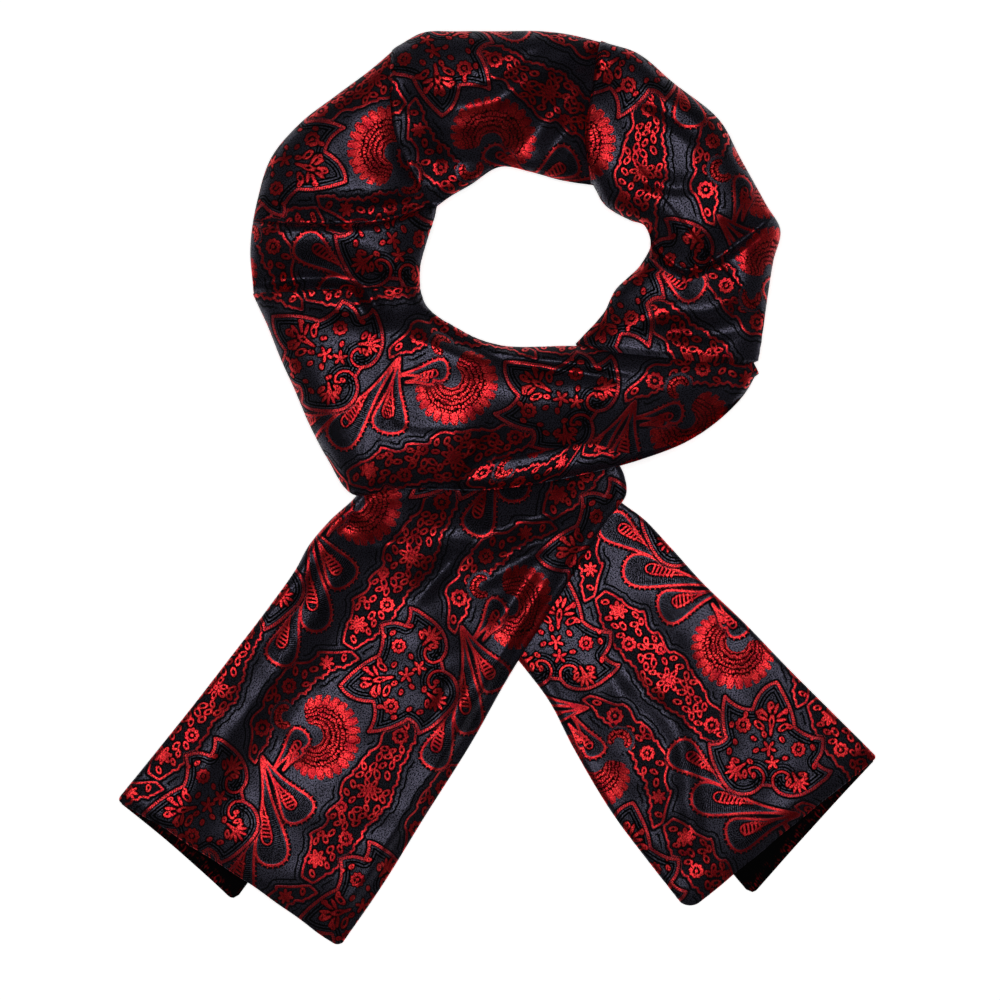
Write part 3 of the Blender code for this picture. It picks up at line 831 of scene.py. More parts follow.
# Sums by plain names. A ramp is value x slope + offset kept between 0 and 1, stripes are a ramp on a
# zigzag that turns every so many mm, and beside is a ramp on the distance to a value. The mark ! keeps
# a result between 0 and 1.
sumKinds = {
    "ramp": "MULTIPLY_ADD!", "stripes": "PINGPONG MULTIPLY_ADD!",
    "beside": "SUBTRACT ABSOLUTE MULTIPLY_ADD!",
    "plus": "MULTIPLY_ADD", "add": "ADD", "minus": "SUBTRACT", "left": "SUBTRACT!", "times": "MULTIPLY",
    "over": "DIVIDE", "power": "POWER", "floor": "FLOOR", "zigzag": "PINGPONG", "off": "ABSOLUTE",
    "most": "MAXIMUM", "least": "MINIMUM",
}
valuesTaken = {"MULTIPLY_ADD": 2, "ABSOLUTE": 0, "FLOOR": 0}   # besides the first; others take one
soft = 0.32   # mm over which a woven edge goes over from one colour to the other


def workOut(tree, found, sums):
    # sums on numbers already found: name, kind, what it works on. Within is 1 at less than so many mm
    # from a line, and inside is 1 at a positive depth, both with a soft edge.
    for name, kind, first, *values in sums:
        if kind == "within":
            kind, values = "ramp", [-1 / soft, 0.5 + values[0] / soft]
        elif kind == "inside":
            kind, values = "ramp", [1 / soft, 0.5]
        values = [found.get(value, value) for value in values]
        result = found.get(first, first)
        operations = sumKinds[kind].split()
        while operations or values:
            if operations:   # and the last one goes on while values are left, as in a x b x c
                operation = operations.pop(0)
            kept = operation.rstrip("!")
            taken = [values.pop(0) for _ in range(valuesTaken.get(kept, 1))]
            inputs = {f"i{i}": value for i, value in enumerate([result, *taken])}
            settings = {"operation": kept, "use_clamp": kept != operation}
            result = addNode(tree, "ShaderNodeMath", settings, **inputs).outputs[0]
        found[name] = result


# Jacquard silk: a black satin ground that takes a bluish sheen, with the figures in floats of red weft.
# The floats glint along the thread like a tinted metal, so they are bright where the cloth faces the
# light, and black yarn in a looser weave stays matt. On top of that, streaks of lighter red are painted
# on the floats as glints, and broad patches of deeper red as shade.
jacquard = {
    # of the reds, the lightest is the colour of painted glints and the deepest the colour of painted
    # shade
    "black": "#030304", "ground": "#434150", "red": "#d61b29", "bright": "#ff4643", "deep": "#a01222",
    "shine": 0.31, "matt": 0.95, "metal": 0.82,
    "threadPitch": 0.9,   # mm; the real threads are 0.1 mm apart and wouldn't show, so these are coarser
    "relief": 0.00005,    # metres that the red floats stand above the ground
    # half the width of each woven line, in mm
    "rope": 0.9, "curl": 0.7, "drop": 0.72, "leaf": 0.62, "small": 0.5,
    # half the distance in mm from one line, petal, scale or ring of scales to the next
    "contourHalf": 0.95, "petalHalf": 3.1, "scaleHalf": 1.7, "ringHalf": 1.45,
}
# noise by thread, as scale for each mm and detail: broad patches that lay painted shade on the red, warp
# showing between the floats, and an unsteady hand in the drawing
clothNoises = {"patches": (0.09, 3.0), "speckle": (1.3, 2.0), "waver": (0.32, 1.0)}

# from the distances in the mesh to what is red and what is black yarn
figureSums = (
    ("depth", "times", "edge", -1.0),
    ("offEdge", "off", "edge"),
    # rope round a palmette and along its curled foot, in short slanting strokes
    ("slant", "plus", "edge", 0.5, "run"),
    ("ropeBand", "within", "offEdge", jacquard["rope"]),
    ("ropeStroke", "stripes", "slant", 0.72, 4.0, -0.2),
    ("rope", "times", "ropeBand", "ropeStroke"),
    ("curl", "within", "inner", jacquard["curl"]),
    ("rope", "most", "rope", "curl"),
    ("rope", "times", "rope", "palmette"),
    # fine dark lines inside it, which follow its edge and its curl
    ("contourLine", "stripes", "depth", jacquard["contourHalf"], 4.0, -1.2),
    ("contourFrom", "ramp", "depth", 2.0, -1.6),
    ("contourTo", "ramp", "depth", -2.0, 13.0),
    ("contours", "times", "contourFrom", "contourTo", "contourLine"),
    ("curlLine", "stripes", "inner", jacquard["contourHalf"], 4.0, -1.2),
    ("curlNear", "ramp", "inner", -1.0, 5.6),
    ("curlLine", "times", "curlLine", "curlNear"),
    ("contours", "most", "contours", "curlLine"),
    ("contours", "times", "contours", "palmette"),
    # drops: outline, teeth round the head, radial hatching
    ("dropLine", "within", "offEdge", jacquard["drop"]),
    ("toothLine", "stripes", "run", 1.5, -3.5, 1.5),
    ("toothTo", "ramp", "edge", -2.5, 5.0),
    ("toothFrom", "ramp", "edge", 3.0, 0.0),
    ("toothHead", "ramp", "inner", 6.0, -2.2),
    ("teeth", "times", "toothLine", "toothTo", "toothFrom", "toothHead"),
    ("dropRed", "most", "dropLine", "teeth"),
    ("dropRed", "times", "dropRed", "drop"),
    ("hatchLine", "stripes", "run", 0.62, 5.0, -1.1),
    ("hatchFrom", "ramp", "depth", 1.5, -2.0),
    ("hatchTo", "ramp", "small", 1.5, -0.9),
    ("hatch", "times", "hatchFrom", "hatchTo", "hatchLine", "drop"),
    # fans: pointed petals outside, and rings of small scales within them
    ("petalRun", "zigzag", "run", jacquard["petalHalf"]),
    ("petalRound", "over", "petalRun", jacquard["petalHalf"]),
    ("petalRound", "power", "petalRound", 0.8),
    ("petalEdge", "plus", "petalRound", 5.4, 19.6),
    ("petalEdge", "plus", "speckle", 4.6, "petalEdge"),
    ("petalEdge", "plus", "waver", 7.0, "petalEdge"),
    ("petalSlit", "ramp", "petalRun", 2.6, -0.2),
    ("petalIn", "minus", "petalEdge", "inner"),
    ("fanIn", "least", "petalIn", "depth"),
    ("fanBody", "inside", "fanIn"),
    ("ringIndex", "over", "inner", 2 * jacquard["ringHalf"]),
    ("ringIndex", "floor", "ringIndex"),
    ("scaleRun", "plus", "ringIndex", jacquard["scaleHalf"], "run"),
    ("scaleRun", "plus", "speckle", 2.4, "scaleRun"),
    ("scaleRun", "zigzag", "scaleRun", jacquard["scaleHalf"]),
    ("rowEdge", "plus", "scaleRun", 0.55, "inner"),
    ("rowEdge", "plus", "speckle", 1.3, "rowEdge"),
    ("rowEdge", "plus", "waver", 4.0, "rowEdge"),
    ("ringGap", "stripes", "rowEdge", jacquard["ringHalf"], 2.4, -0.75),
    ("scaleGap", "ramp", "scaleRun", 2.2, -0.3),
    ("scales", "times", "ringGap", "scaleGap"),
    ("tipGap", "beside", "petalIn", 1.9, 3.5, -0.5),
    ("isRing", "ramp", "inner", -1.5, 33.5),
    ("outerPetals", "left", 1.0, "isRing"),
    ("outerPetals", "times", "outerPetals", "petalSlit"),
    ("scales", "most", "scales", "outerPetals"),
    ("tipGap", "most", "tipGap", "isRing"),
    ("fanRed", "times", "fanBody", "scales", "tipGap", "fan"),
    ("fanDark", "times", "fan", "fanBody"),
    # leaves: a thin jagged line round a dark panel
    ("leafLine", "within", "offEdge", jacquard["leaf"]),
    ("leafRed", "times", "leafLine", "leaf"),
    ("leafBody", "inside", "depth"),
    ("leafDark", "times", "leafBody", "leaf", 0.55),
    # ovals, flowers and the inner drops
    ("smallLine", "within", "small", jacquard["small"]),
    ("smallShade", "ramp", "small", -0.9, 1.6),
    # the halo beside every motif and a second line outside the leaves
    ("halo", "beside", "edge", 1.5, -1.6, 1.5),
    ("notFan", "plus", "fan", -0.8, 0.8),
    ("halo", "times", "halo", "notFan"),
    ("echo", "beside", "edge", 4.4, -1.8, 1.3),
    ("echo", "times", "echo", "leaf"),
    # all together
    ("red", "most", "rope", "dropRed", "fanRed", "leafRed", "smallLine"),
    ("dark", "most", "contours", "hatch", "leafDark", "smallShade", "halo", "echo", "fanDark"),
)
# thread by thread: worn places of the red, painted glints on it in lighter streaks and painted shade on
# it in deeper patches, black warp showing, the height of the weave, and how metallic and how rough it is
threadSums = (
    ("worn", "ramp", "speckle", 6.0, -1.9),
    ("red", "times", "red", "worn"),
    # painted glints: streaks of lighter red along the floats
    ("bright", "ramp", "streaks", 5.0, -2.1),
    # painted shade: broad patches of deeper red on the floats
    ("shade", "ramp", "patches", 3.0, -0.8),
    ("twill", "add", "t", "n"),
    ("twill", "zigzag", "twill", jacquard["threadPitch"] / 2),
    ("twill", "over", "twill", jacquard["threadPitch"] / 2),
    ("warpShow", "ramp", "speckle", 6.0, -2.3),
    ("light", "left", 1.0, "dark"),
    ("light", "times", "light", "warpShow"),
    ("relief", "plus", "twill", 0.12, "red"),
    ("relief", "plus", "streaks", 0.35, "relief"),
    ("relief", "plus", "dark", -0.25, "relief"),
    ("metal", "plus", "red", 0.14, jacquard["metal"]),
    ("polish", "most", "red", "light"),
    ("rough", "plus", "polish", jacquard["shine"] - jacquard["matt"], jacquard["matt"]),
)


def clothPlace(tree):
    # the place on the flat cloth in mm, as one vector and as its two parts
    cloth = addNode(tree, "ShaderNodeUVMap", {"uv_map": "UVMap"})
    cloth = addNode(
        tree, "ShaderNodeVectorMath", {"operation": "SCALE"}, i0=cloth.outputs[0], Scale=1 / mm)
    place = addNode(tree, "ShaderNodeSeparateXYZ", None, Vector=cloth.outputs[0])
    return cloth.outputs[0], place.outputs[0], place.outputs[1]


def jacquardSilk():
    look, tree, shader = startMaterial("jacquard silk, black satin with red weft figures")
    figure = addNode(tree, "ShaderNodeAttribute", {"attribute_name": "figure"})
    split = addNode(tree, "ShaderNodeSeparateXYZ", None, Vector=figure.outputs["Vector"])
    which = addNode(tree, "ShaderNodeAttribute", {"attribute_name": "kinds"})
    kindOf = addNode(tree, "ShaderNodeSeparateColor", None, Color=which.outputs["Color"])
    within = addNode(tree, "ShaderNodeAttribute", {"attribute_name": "inner"})
    cloth, t, n = clothPlace(tree)
    stretched = addNode(tree, "ShaderNodeMapping", None, Vector=cloth, Scale=(0.7, 2.2, 1.0))
    streaks = addNode(
        tree, "ShaderNodeTexNoise", None, Vector=stretched.outputs[0], Scale=1.0, Detail=2.0)
    found = {
        "edge": split.outputs[0], "run": split.outputs[1], "small": split.outputs[2],
        "palmette": kindOf.outputs[0], "drop": kindOf.outputs[1], "fan": kindOf.outputs[2],
        "leaf": which.outputs["Alpha"], "inner": within.outputs["Fac"],
        "t": t, "n": n, "streaks": streaks.outputs[0],
    }
    for name, (scale, detail) in clothNoises.items():
        noise = addNode(tree, "ShaderNodeTexNoise", None, Vector=cloth, Scale=scale, Detail=detail)
        found[name] = noise.outputs[0]
    workOut(tree, found, figureSums + threadSums)
    colours = {key: linear(jacquard[key]) for key in ("black", "ground", "red", "bright", "deep")}
    for name, share, low, high in (
        ("satin", "light", "black", "ground"),
        # the red floats take painted glints in lighter streaks, then painted shade in deeper patches
        ("floats", "bright", "red", "bright"),
        ("floats", "shade", "deep", "floats"),
        ("cloth", "red", "satin", "floats"),
    ):
        mixed = addNode(
            tree, "ShaderNodeMix", {"data_type": "RGBA"},
            i0=found[share], i6=colours[low], i7=colours[high])
        colours[name] = mixed.outputs[2]
    bump = addNode(
        tree, "ShaderNodeBump", None, Strength=1.0, Distance=jacquard["relief"], Height=found["relief"])
    tree.links.new(colours["cloth"], shader.inputs["Base Color"])
    tree.links.new(found["metal"], shader.inputs["Metallic"])
    tree.links.new(found["rough"], shader.inputs["Roughness"])
    tree.links.new(bump.outputs[0], shader.inputs["Normal"])
    shader.inputs["Specular IOR Level"].default_value = 0.5
    return look


# The back of the weave: black warp with the red weft carried behind it, so only flecks of it show. They
# show in a strip along the hem. Further in, inside the fold, the flecks are left out, so there its real
# black also stands for painted shade.
reverse = {"black": "#030304", "fleck": "#8e1219", "rough": 0.85, "specular": 0.06, "relief": 0.0002}


def silkReverse():
    look, tree, shader = startMaterial("silk reverse, black warp with flecks of red")
    cloth, _, fromHem = clothPlace(tree)
    stretched = addNode(tree, "ShaderNodeMapping", None, Vector=cloth, Scale=(1.0, 0.42, 1.0))
    fleck = addNode(tree, "ShaderNodeTexNoise", None, Vector=stretched.outputs[0], Scale=0.8, Detail=2.0)
    patch = addNode(tree, "ShaderNodeTexNoise", None, Vector=cloth, Scale=0.11, Detail=2.0)
    found = {"fleck": fleck.outputs[0], "patch": patch.outputs[0], "fromHem": fromHem}
    workOut(tree, found, (
        ("most", "ramp", "patch", 5.0, -2.1),
        # flecks only along the hem; further in, plain black stands for painted shade inside the fold
        ("nearHem", "ramp", "fromHem", -0.3, 2.2),
        ("most", "times", "most", "nearHem"),
        ("fleck", "ramp", "fleck", 9.0, -4.7),
        ("red", "times", "fleck", "most"),
    ))
    colour = addNode(
        tree, "ShaderNodeMix", {"data_type": "RGBA"}, i0=found["red"],
        i6=linear(reverse["black"]), i7=linear(reverse["fleck"]))
    bump = addNode(
        tree, "ShaderNodeBump", None, Strength=0.5, Distance=reverse["relief"], Height=fleck.outputs[0])
    tree.links.new(colour.outputs[2], shader.inputs["Base Color"])
    tree.links.new(bump.outputs[0], shader.inputs["Normal"])
    shader.inputs["Roughness"].default_value = reverse["rough"]
    shader.inputs["Specular IOR Level"].default_value = reverse["specular"]
    return look


silk = jacquardSilk()
backOfSilk = silkReverse()
print("materials made")

# the ring: each rung has its inner and outer end, how far it bows, how high it is and how tucked
lipTurns = np.linspace(12, 165, 9)

loopRight = {
    "name": "scarfLoopRight",
    "node": "loop_right",
    "rungs": (
        (47, 88.7, 157, 78.5, 0, 24, 0),
        (63, 106, 159, 91, 0, 25, 0),
        (71, 121, 162, 114, 0, 27, 0),
        (86, 136, 166, 139, 0, 27, 0),
        (92, 148, 170, 157, 0, 27, 0),
        (89, 159, 161, 173, 0, 28, 0),
        (80, 163, 146, 200, 0, 29, 0),
        (70, 168, 134, 222, 0, 30, 0),
        (63, 174, 106, 245, 1, 30, 0),
        (60, 180, 82, 264, 3, 29, 0),
        (58, 184, 66, 269, 5, 28, 0),
    ),
    "facets": (
        {"heading": -100, "palmette": (112, 124)},
        {"heading": -48, "palmette": (18, 252),
         "beyond": ((180, 163), (146, 152), (114, 125), (88, 142))},
    ),
    "lips": {"end": {"over": 3.2, "drop": 5.5, "turns": lipTurns}},
    "unders": {"start": 7},
    "flat": (0.149, 0.190),
    "restsOn": ["silkFloor"],
}
loopTop = {
    "name": "scarfLoopTop",
    "node": "loop_top",
    "rungs": (
        (58, 184, 66, 269, 5, 23, 0),
        (38, 187, 44, 274, 2, 26, 0),
        (20, 192, 26, 276, 0, 28, 0),
        (2, 195, 2, 276, 0, 29, 0),
        (-16, 184, -25, 276, 3, 30, 0),
        (-28, 177, -45, 275, 8, 30, 0),
        (-36, 171, -60, 267, 11, 29, 0),
    ),
    "facets": ({"heading": -35, "palmette": (-38, 262)},),
    # it sinks under its right neighbour, and a little before it rolls over the left one
    "swells": (
        (((-30, -6), (-10, -6), (0, -6), (5, -4.6), (10, -2.6), (16, -0.7), (22, 0), (40, 0)),
         ((55, 150), (58, 184), (62, 226), (66, 269), (68, 300))),
        (((-30, 0), (-20, 0), (-14, -0.6), (-8, -2.2), (-3, -3.4), (0, -3.6), (10, -3.6), (20, -3.6)),
         ((-30, 140), (-36, 171), (-46, 220), (-60, 267), (-70, 300))),
    ),
    "lips": {"end": {"over": 3.2, "drop": 6.0, "turns": lipTurns}},
    "unders": {"start": 4},
    "flat": (0.160, 0.125),
    "restsOn": ["silkFloor"],
}
loopLeft = {
    "name": "scarfLoopLeft",
    "node": "loop_left",
    "rungs": (
        (-36, 171, -60, 267, 11, 23, 0),
        (-37, 166, -76, 253, 9, 26, 0),
        (-38, 162, -96, 238, 5, 27, 0),
        (-40, 156, -118, 221, 2, 28, 0),
        (-42, 150, -135, 201, 0, 28, 0),
        (-44, 143, -144, 174, 0, 27, 0),
        (-46, 134, -148, 147, 0, 27, 0),
        (-46, 122, -146, 117, 0, 24, 0),
    ),
    "facets": (
        {"heading": 27, "palmette": (-127, 198)},
        {"heading": 130, "palmette": (-60, 150), "beyond": ((-36, 170), (-90, 160), (-160, 164))},
    ),
    "unders": {"start": 4, "end": 4},
    "flat": (0.164, 0.125),
    "restsOn": ["silkFloor"],
}
frontBand = {
    "name": "scarfFrontBand",
    "node": "front_band",
    "rungs": (
        (-46, 122, -146, 117, 0, 26, 0),
        (-44, 115, -138, 100, 0, 28, 0),
        (-41, 110, -130, 80, 0, 29, 0),
        (-34, 104, -121, 60, 0, 30, 0),
        (-27, 100, -113, 41, 0, 31, 0),
        (-20, 96, -102, 20, 0, 32, 0),
        (-12, 92, -86, -2, 0, 33, 0.8),
        (-3, 89, -62, 1, 0, 33, 1),
        (9, 87, -34, 1, 0, 33, 1),
        (26, 87, -4, 1, 0, 33, 1),
        (41, 87.5, 26, 5, 0, 32, 1),
        (56, 87.2, 56, 11, 0, 31, 1),
        (77, 85.2, 86, 19, 0, 30, 0.6),
        (99, 83.2, 116, 31, 0, 28, 0),
        (123, 81.0, 139, 48, 0, 25, 0),
        (143, 79.1, 151, 62, 0, 21, 0),
        (150, 78.5, 155, 69, 0, 17, 0),
    ),
    "facets": ({"heading": 193, "palmette": (38, 56)},),
    "lips": {"start": {"over": 1.6, "drop": 3.0, "turns": lipTurns}},
    "unders": {"end": 3},
    "flat": (0.146, 0.300),
    "restsOn": ["silkFloor", "scarfTailLeft", "scarfTailRight"],
}

# the tails: each rung has its folded and its open side, how far it bows, how thick its roll is, and how
# high the panel puffs up beside it
tailEdge = ((3.3, 4.2), (1.0, 3.2), (0.1, 2.1), (0.9, 1.0), (3.5, 0.8))   # inset and height at the side
tailLook = {
    "rollBlend": 0.35, "edgeFall": 0.45, "foldFade": 0.06,   # as shares of the width
    "wall": 1.6, "lowest": 4.0, "cornerRun": 40,
    "hem": {"over": 0.9, "drop": 1.7, "turns": np.linspace(15, 190, 8)},
}
underLook = {"step": 2.2, "columns": 60, "height": 1.5, "uneven": 0.5, "corner": 5.0, "pastRows": 10}

tailLeft = {
    "name": "scarfTailLeft", "underName": "scarfTailLeftUnder",
    "node": "tail_left_front", "side": -1,
    "rungs": (
        (-78, 5, 71, 21, 0, 9, 6.5),
        (-88, -6, 77, 9, 0, 9.5, 6.5),
        (-96, -13, 78, -1, 0, 11, 7.5),
        (-104, -21, 65, -19, 0, 11, 9),
        (-113, -32, 50, -44, 0, 10, 9),
        (-122, -48, 28, -78, 0, 9, 8),
        (-137, -69, 8, -110, 0, 8, 7),
        (-160, -99, -15, -151, 0, 7, 7),
        (-184, -130, -44, -197, 0, 6.5, 7),
        (-208, -160, -70, -239, -1, 6, 8),
        (-229, -186, -95, -275, -4, 6, 9),
    ),
    "creases": (
        (10, -5, ((-104, 4), (-84, -12), (-62, -22), (-36, -26))),
        (6, 3, ((-88, -34), (-70, -32), (-52, -26))),
        (7, -5, ((-58, -74), (-44, -60), (-30, -44), (-14, -22))),
        (5.5, 3, ((-30, -42), (0, -24), (30, -14), (66, -6))),
        (4.5, -2.5, ((-14, -48), (15, -34), (46, -20))),
        (4.5, 2.2, ((-18, -60), (8, -46), (36, -28))),
        (6, 3, ((8, -92), (22, -66), (40, -36))),
        (5, -2.5, ((-6, -86), (12, -62), (28, -40))),
        (6, 2, ((-6, -98), (-22, -128), (-38, -160))),
        (5, -1.5, ((-20, -98), (-34, -126), (-46, -150))),
    ),
    "swells": (
        # the long dark slope left of the middle, and the bright ridge that it leads up to
        (((-80, 0), (-40, 0), (-26, 0), (-17, -0.6), (-9, -2.4), (-1, -2.4), (7, 1.2), (17, 5.2),
          (25, 6.8), (36, 7.0), (50, 6.6), (66, 6.0), (82, 5.6), (96, 5.4), (110, 5.4), (130, 5.4)),
         ((-78, 5), (-84, -20), (-97, -52), (-119, -90), (-148, -130), (-176, -172), (-212, -232))),
        # it sinks under the front band
        (((-64, 0), (-44, 0), (-34, 0.6), (-24, 2.4), (-14, 4.4), (-6, 4.8), (0, 3.6), (6, 1.2),
          (12, -1.4), (18, -3), (26, -3.2), (40, -3.2)),
         ((-140, -4), (-90, -10), (-60, -15), (-20, -17), (20, -10), (50, 0), (90, 14))),
    ),
    "facets": ({"heading": 236.5, "palmette": (-55, -110)},),
    "corners": (3.0, 5.0), "hemFall": (7.0, 1.6),
    "under": "tail_left_under", "share": 0.58, "reach": (1.0, 16.0),
    "flat": (0.176, 0.295), "underFlat": (0.085, 0.300),
    "restsOn": ["silkFloor", "scarfTailRight"],
}
tailRight = {
    "name": "scarfTailRight", "underName": "scarfTailRightUnder",
    "node": "tail_right_front", "side": 1,
    "rungs": (
        (56, 13, -50, 1, 0, 4.2, 4.2),
        (68, -1, -42, -21, 0, 4.2, 4.2),
        (77, -8, -27, -49, 0, 4.4, 4.2),
        (89, -17, -8, -76, 0, 5, 4.2),
        (105, -34, 12, -101, 0, 5.5, 4.4),
        (124, -55, 31, -126, 0, 6, 6),
        (148, -78, 46, -155, 0, 6, 7.5),
        (175, -106, 68, -192, 0, 6, 8),
        (203, -134, 91, -223, 0, 6, 8.5),
        (229, -160, 115, -253, -1, 6, 9),
    ),
    "creases": (
        (9, -1.2, ((84, -50), (120, -96), (152, -150))),
        (7, 1.2, ((40, -60), (66, -100), (84, -150))),
    ),
    "swells": (
        (((-70, 0), (-50, 0), (-22, 1.6), (-9, 1.4), (0, -0.6), (9, 1.4), (22, 1.6), (50, 0), (70, 0)),
         ((44, -56), (75, -108), (108, -144), (116, -186), (120, -236))),
    ),
    "facets": ({"heading": 130, "palmette": (163.6, -153.7)},),
    "corners": (2.0, 9.0), "hemFall": (13.0, 4.5),
    "under": "tail_right_under", "share": 0.76, "reach": (1.0, 18.0),
    "flat": (0.138, 0.280), "underFlat": (0.100, 0.280),
    "restsOn": ["silkFloor"],
}


def rideHeights(x, y):
    # how far the left tail is lifted by the right tail under it
    edge = np.array(tailRight["rungs"], float)[:, 2:4]
    beside = nearestOn(edge, False, x, y)[0]
    return scarf["ride"] * easeStep(1 + beside / scarf["rideRamp"])


def roundedBack(fromSide, radius):
    # how far back a rounded corner draws the end of a sheet, this far from its side
    return radius - np.sqrt(np.maximum(radius ** 2 - np.maximum(radius - fromSide, 0) ** 2, 0))


def tailSections(part):
    table, start, run, width = rungsOf(part, scarf["step"])
    bow, roll, puff = table[:, 4:5] * part["side"], table[:, 5:6], table[:, 6:7]
    # the rolled fold, the panel and its open side
    radius = roll / 2
    turn = np.radians(np.linspace(-70, -270, 26))
    rollAcross, rollHeight = radius + radius * np.cos(turn), radius + radius * np.sin(turn)
    share = np.linspace(0, 1, scarf["sectionPoints"])[1:-1]
    edge = smoothLine(tailEdge, 0.5)
    first, last = rollAcross[:, -1:], width - edge[0, 0]
    high = puff + tailLook["wall"] / 2
    topHeight = high + (roll - high) * (1 - easeStep(share / tailLook["rollBlend"]))
    topHeight = topHeight - (high - edge[0, 1]) * easeStep(1 - (1 - share) / tailLook["edgeFall"])
    edgeHeight = np.broadcast_to(edge[:, 1], (len(table), len(edge)))
    across = np.concatenate([rollAcross, first + (last - first) * share, width - edge[:, 0]], axis=1)
    height = np.concatenate([rollHeight, topHeight, edgeHeight], axis=1)
    plan = bowedPlan(start, run, across, bow)
    top = slice(len(turn), len(turn) + len(share))
    folded = foldHeights(plan[:, top, 0], plan[:, top, 1], part["creases"], part["swells"])
    folded = folded * fadeEnds(share, tailLook["foldFade"])
    height[:, top] = np.maximum(height[:, top] + folded, tailLook["lowest"])
    # rounded corners, and the fall towards the hem
    middleLine = start + run / 2
    fromHem = chordKnots(middleLine)
    fromHem = (fromHem[-1] - fromHem)[:, None]
    back = roundedBack(across, part["corners"][0]) + roundedBack(width - across, part["corners"][1])
    back = back * np.maximum(1 - fromHem / tailLook["cornerRun"], 0) ** 2
    ahead = middleLine[-1] - middleLine[-4]
    ahead /= np.linalg.norm(ahead)
    plan = plan - back[..., None] * ahead
    reach, drop = part["hemFall"]
    height = height - np.minimum(drop, 0.45 * height) * np.maximum(1 - fromHem / reach, 0) ** 2
    if part["side"] < 0:
        height = height + rideHeights(plan[..., 0], plan[..., 1])
    extra, columns = clothOver(across, height, len(turn) + len(share) // 2)
    return plan, height, extra, columns, (run / width)[:, None]


def tailSheet(part, look):
    plan, height, extra, columns, acrossWay = tailSections(part)
    points, moved, girth = evenAcross(plan, height, extra, columns)
    cloth = flatPlaces(points, acrossWay, moved, part["facets"])
    points, cloth = addRows(points, cloth, "end", lipRows(tailLook["hem"]))
    finishSheet(part, look, points, cloth, girth)


def underSheet(part, look):
    # the panel folded under a tail, back of the weave upwards, which shows past the tail's end
    table, start, run, width = rungsOf(part, underLook["step"])
    first = table[:, 5:6] / 2 + 0.4
    share = np.linspace(0, 1, underLook["columns"])
    across = first + (width * part["share"] - first) * share
    plan = bowedPlan(start, run, across, table[:, 4:5] * part["side"])
    way = plan[-1] - plan[-2]
    way /= np.linalg.norm(way, axis=1)[:, None]
    least, most = part["reach"]
    past = least + (most - least) * share - roundedBack(across[-1, -1] - across[-1], underLook["corner"])
    fromHem = chordKnots(plan[:, plan.shape[1] // 2])
    fromHem = (fromHem[-1] - fromHem)[:, None] + past
    gone = np.linspace(0.1, 1, underLook["pastRows"])[:, None]
    plan = np.concatenate([plan, plan[-1] + way * (past * gone)[..., None]])
    fromHem = np.concatenate([fromHem, past * (1 - gone)])
    across = np.concatenate([across, np.repeat(across[-1:], len(gone), axis=0)])
    cloth = np.stack([across, fromHem], axis=-1)
    waves = np.sin(plan[..., 0] / 9.0) * np.sin(plan[..., 1] / 11.0)
    height = underLook["height"] + underLook["uneven"] * waves
    if part["side"] < 0:
        height = height + rideHeights(plan[..., 0], plan[..., 1])
    points = np.concatenate([plan, height[..., None]], axis=2)
    piece = shapeSheet(part["underName"], look, points, cloth, part["underFlat"])
    declare(piece, part["under"])
    print(part["underName"], points.shape)


for part in (loopRight, loopTop, loopLeft, frontBand):
    ringSheet(part, silk)
for part in (tailLeft, tailRight):
    tailSheet(part, silk)
for part in (tailLeft, tailRight):
    underSheet(part, backOfSilk)
print("cloth shaped")

# floor, light and camera
studio = {
    "floor": "#f4f4f2", "floorSize": 8.0, "floorLevel": -0.0004, "floorRough": 0.9,
    "floorGlow": 0.77,                 # the board is lit from below as well
    "frameWidth": 0.6,                 # metres that the picture is wide at the cloth
    "aim": (0.0018, -0.0057), "lens": 120.0, "sensor": 36.0,
    "clothLevel": 0.012, "world": 0.008,
}
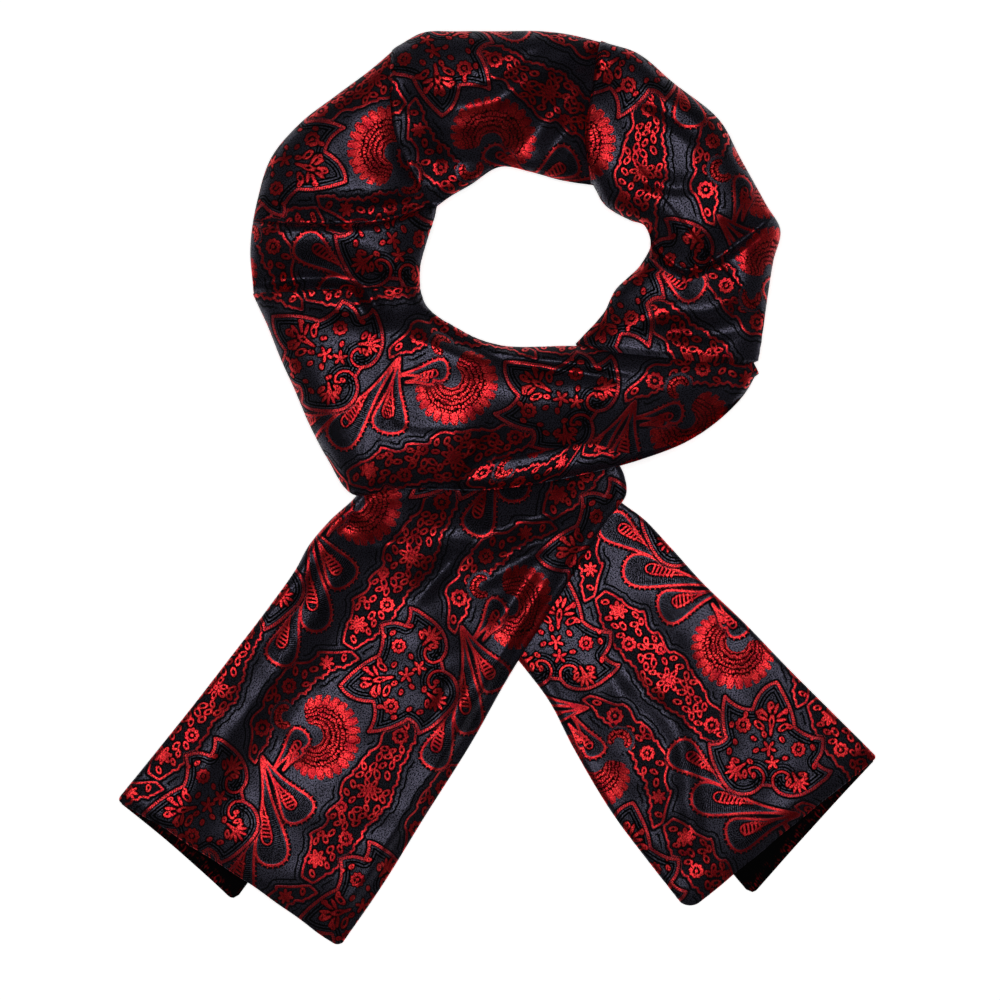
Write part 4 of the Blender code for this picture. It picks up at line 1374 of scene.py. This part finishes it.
# name, place, width and height, watts
lamps = (
    ("overhead softbox", (-0.06, 0.10, 2.45), (1.2, 1.2), 19.0),
    ("left panel", (-2.2, 0.1, 1.0), (2.0, 1.0), 0.6),
    ("right panel", (2.2, -0.1, 1.0), (2.0, 1.0), 0.6),
    ("back panel", (0.1, 2.2, 1.0), (2.0, 1.0), 0.6),
    ("front panel", (-0.1, -2.2, 1.0), (2.0, 1.0), 0.6),
)


def plainFloor():
    bpy.ops.object.select_all(action="DESELECT")
    bpy.ops.mesh.primitive_plane_add(size=studio["floorSize"], location=(0, 0, studio["floorLevel"]))
    floor = bpy.context.object
    floor.name = "silkFloor"
    bpy.ops.object.transform_apply(location=True, rotation=True, scale=True)
    look, tree, shader = startMaterial("matt white board, painted")
    shader.inputs["Base Color"].default_value = linear(studio["floor"])
    shader.inputs["Roughness"].default_value = studio["floorRough"]
    shader.inputs["Specular IOR Level"].default_value = 0.1
    shader.inputs["Emission Color"].default_value = linear("#ffffff")
    shader.inputs["Emission Strength"].default_value = studio["floorGlow"]
    floor.data.materials.append(look)


def softLight(name, place, size, power):
    data = bpy.data.lights.new(name, "AREA")
    data.shape = "RECTANGLE"
    data.size, data.size_y = size
    data.energy = power
    lamp = bpy.data.objects.new(name, data)
    bpy.context.scene.collection.objects.link(lamp)
    lamp.location = place
    lamp.rotation_euler = (-Vector(place)).to_track_quat("-Z", "Y").to_euler()


plainFloor()
for name, place, size, power in lamps:
    softLight(name, place, size, power)

world = bpy.data.worlds.new("studio")
bpy.context.scene.world = world
world.use_nodes = True
world.node_tree.nodes["Background"].inputs[0].default_value = (1, 1, 1, 1)
world.node_tree.nodes["Background"].inputs[1].default_value = studio["world"]
bpy.context.scene.view_settings.view_transform = "Standard"

cameraData = bpy.data.cameras.new("view from above")
cameraData.lens = studio["lens"]
cameraData.sensor_width = studio["sensor"]
camera = bpy.data.objects.new("view from above", cameraData)
bpy.context.scene.collection.objects.link(camera)
distance = studio["frameWidth"] * studio["lens"] / studio["sensor"]
camera.location = (studio["aim"][0], studio["aim"][1], studio["clothLevel"] + distance)
bpy.context.scene.camera = camera
print("studio set")
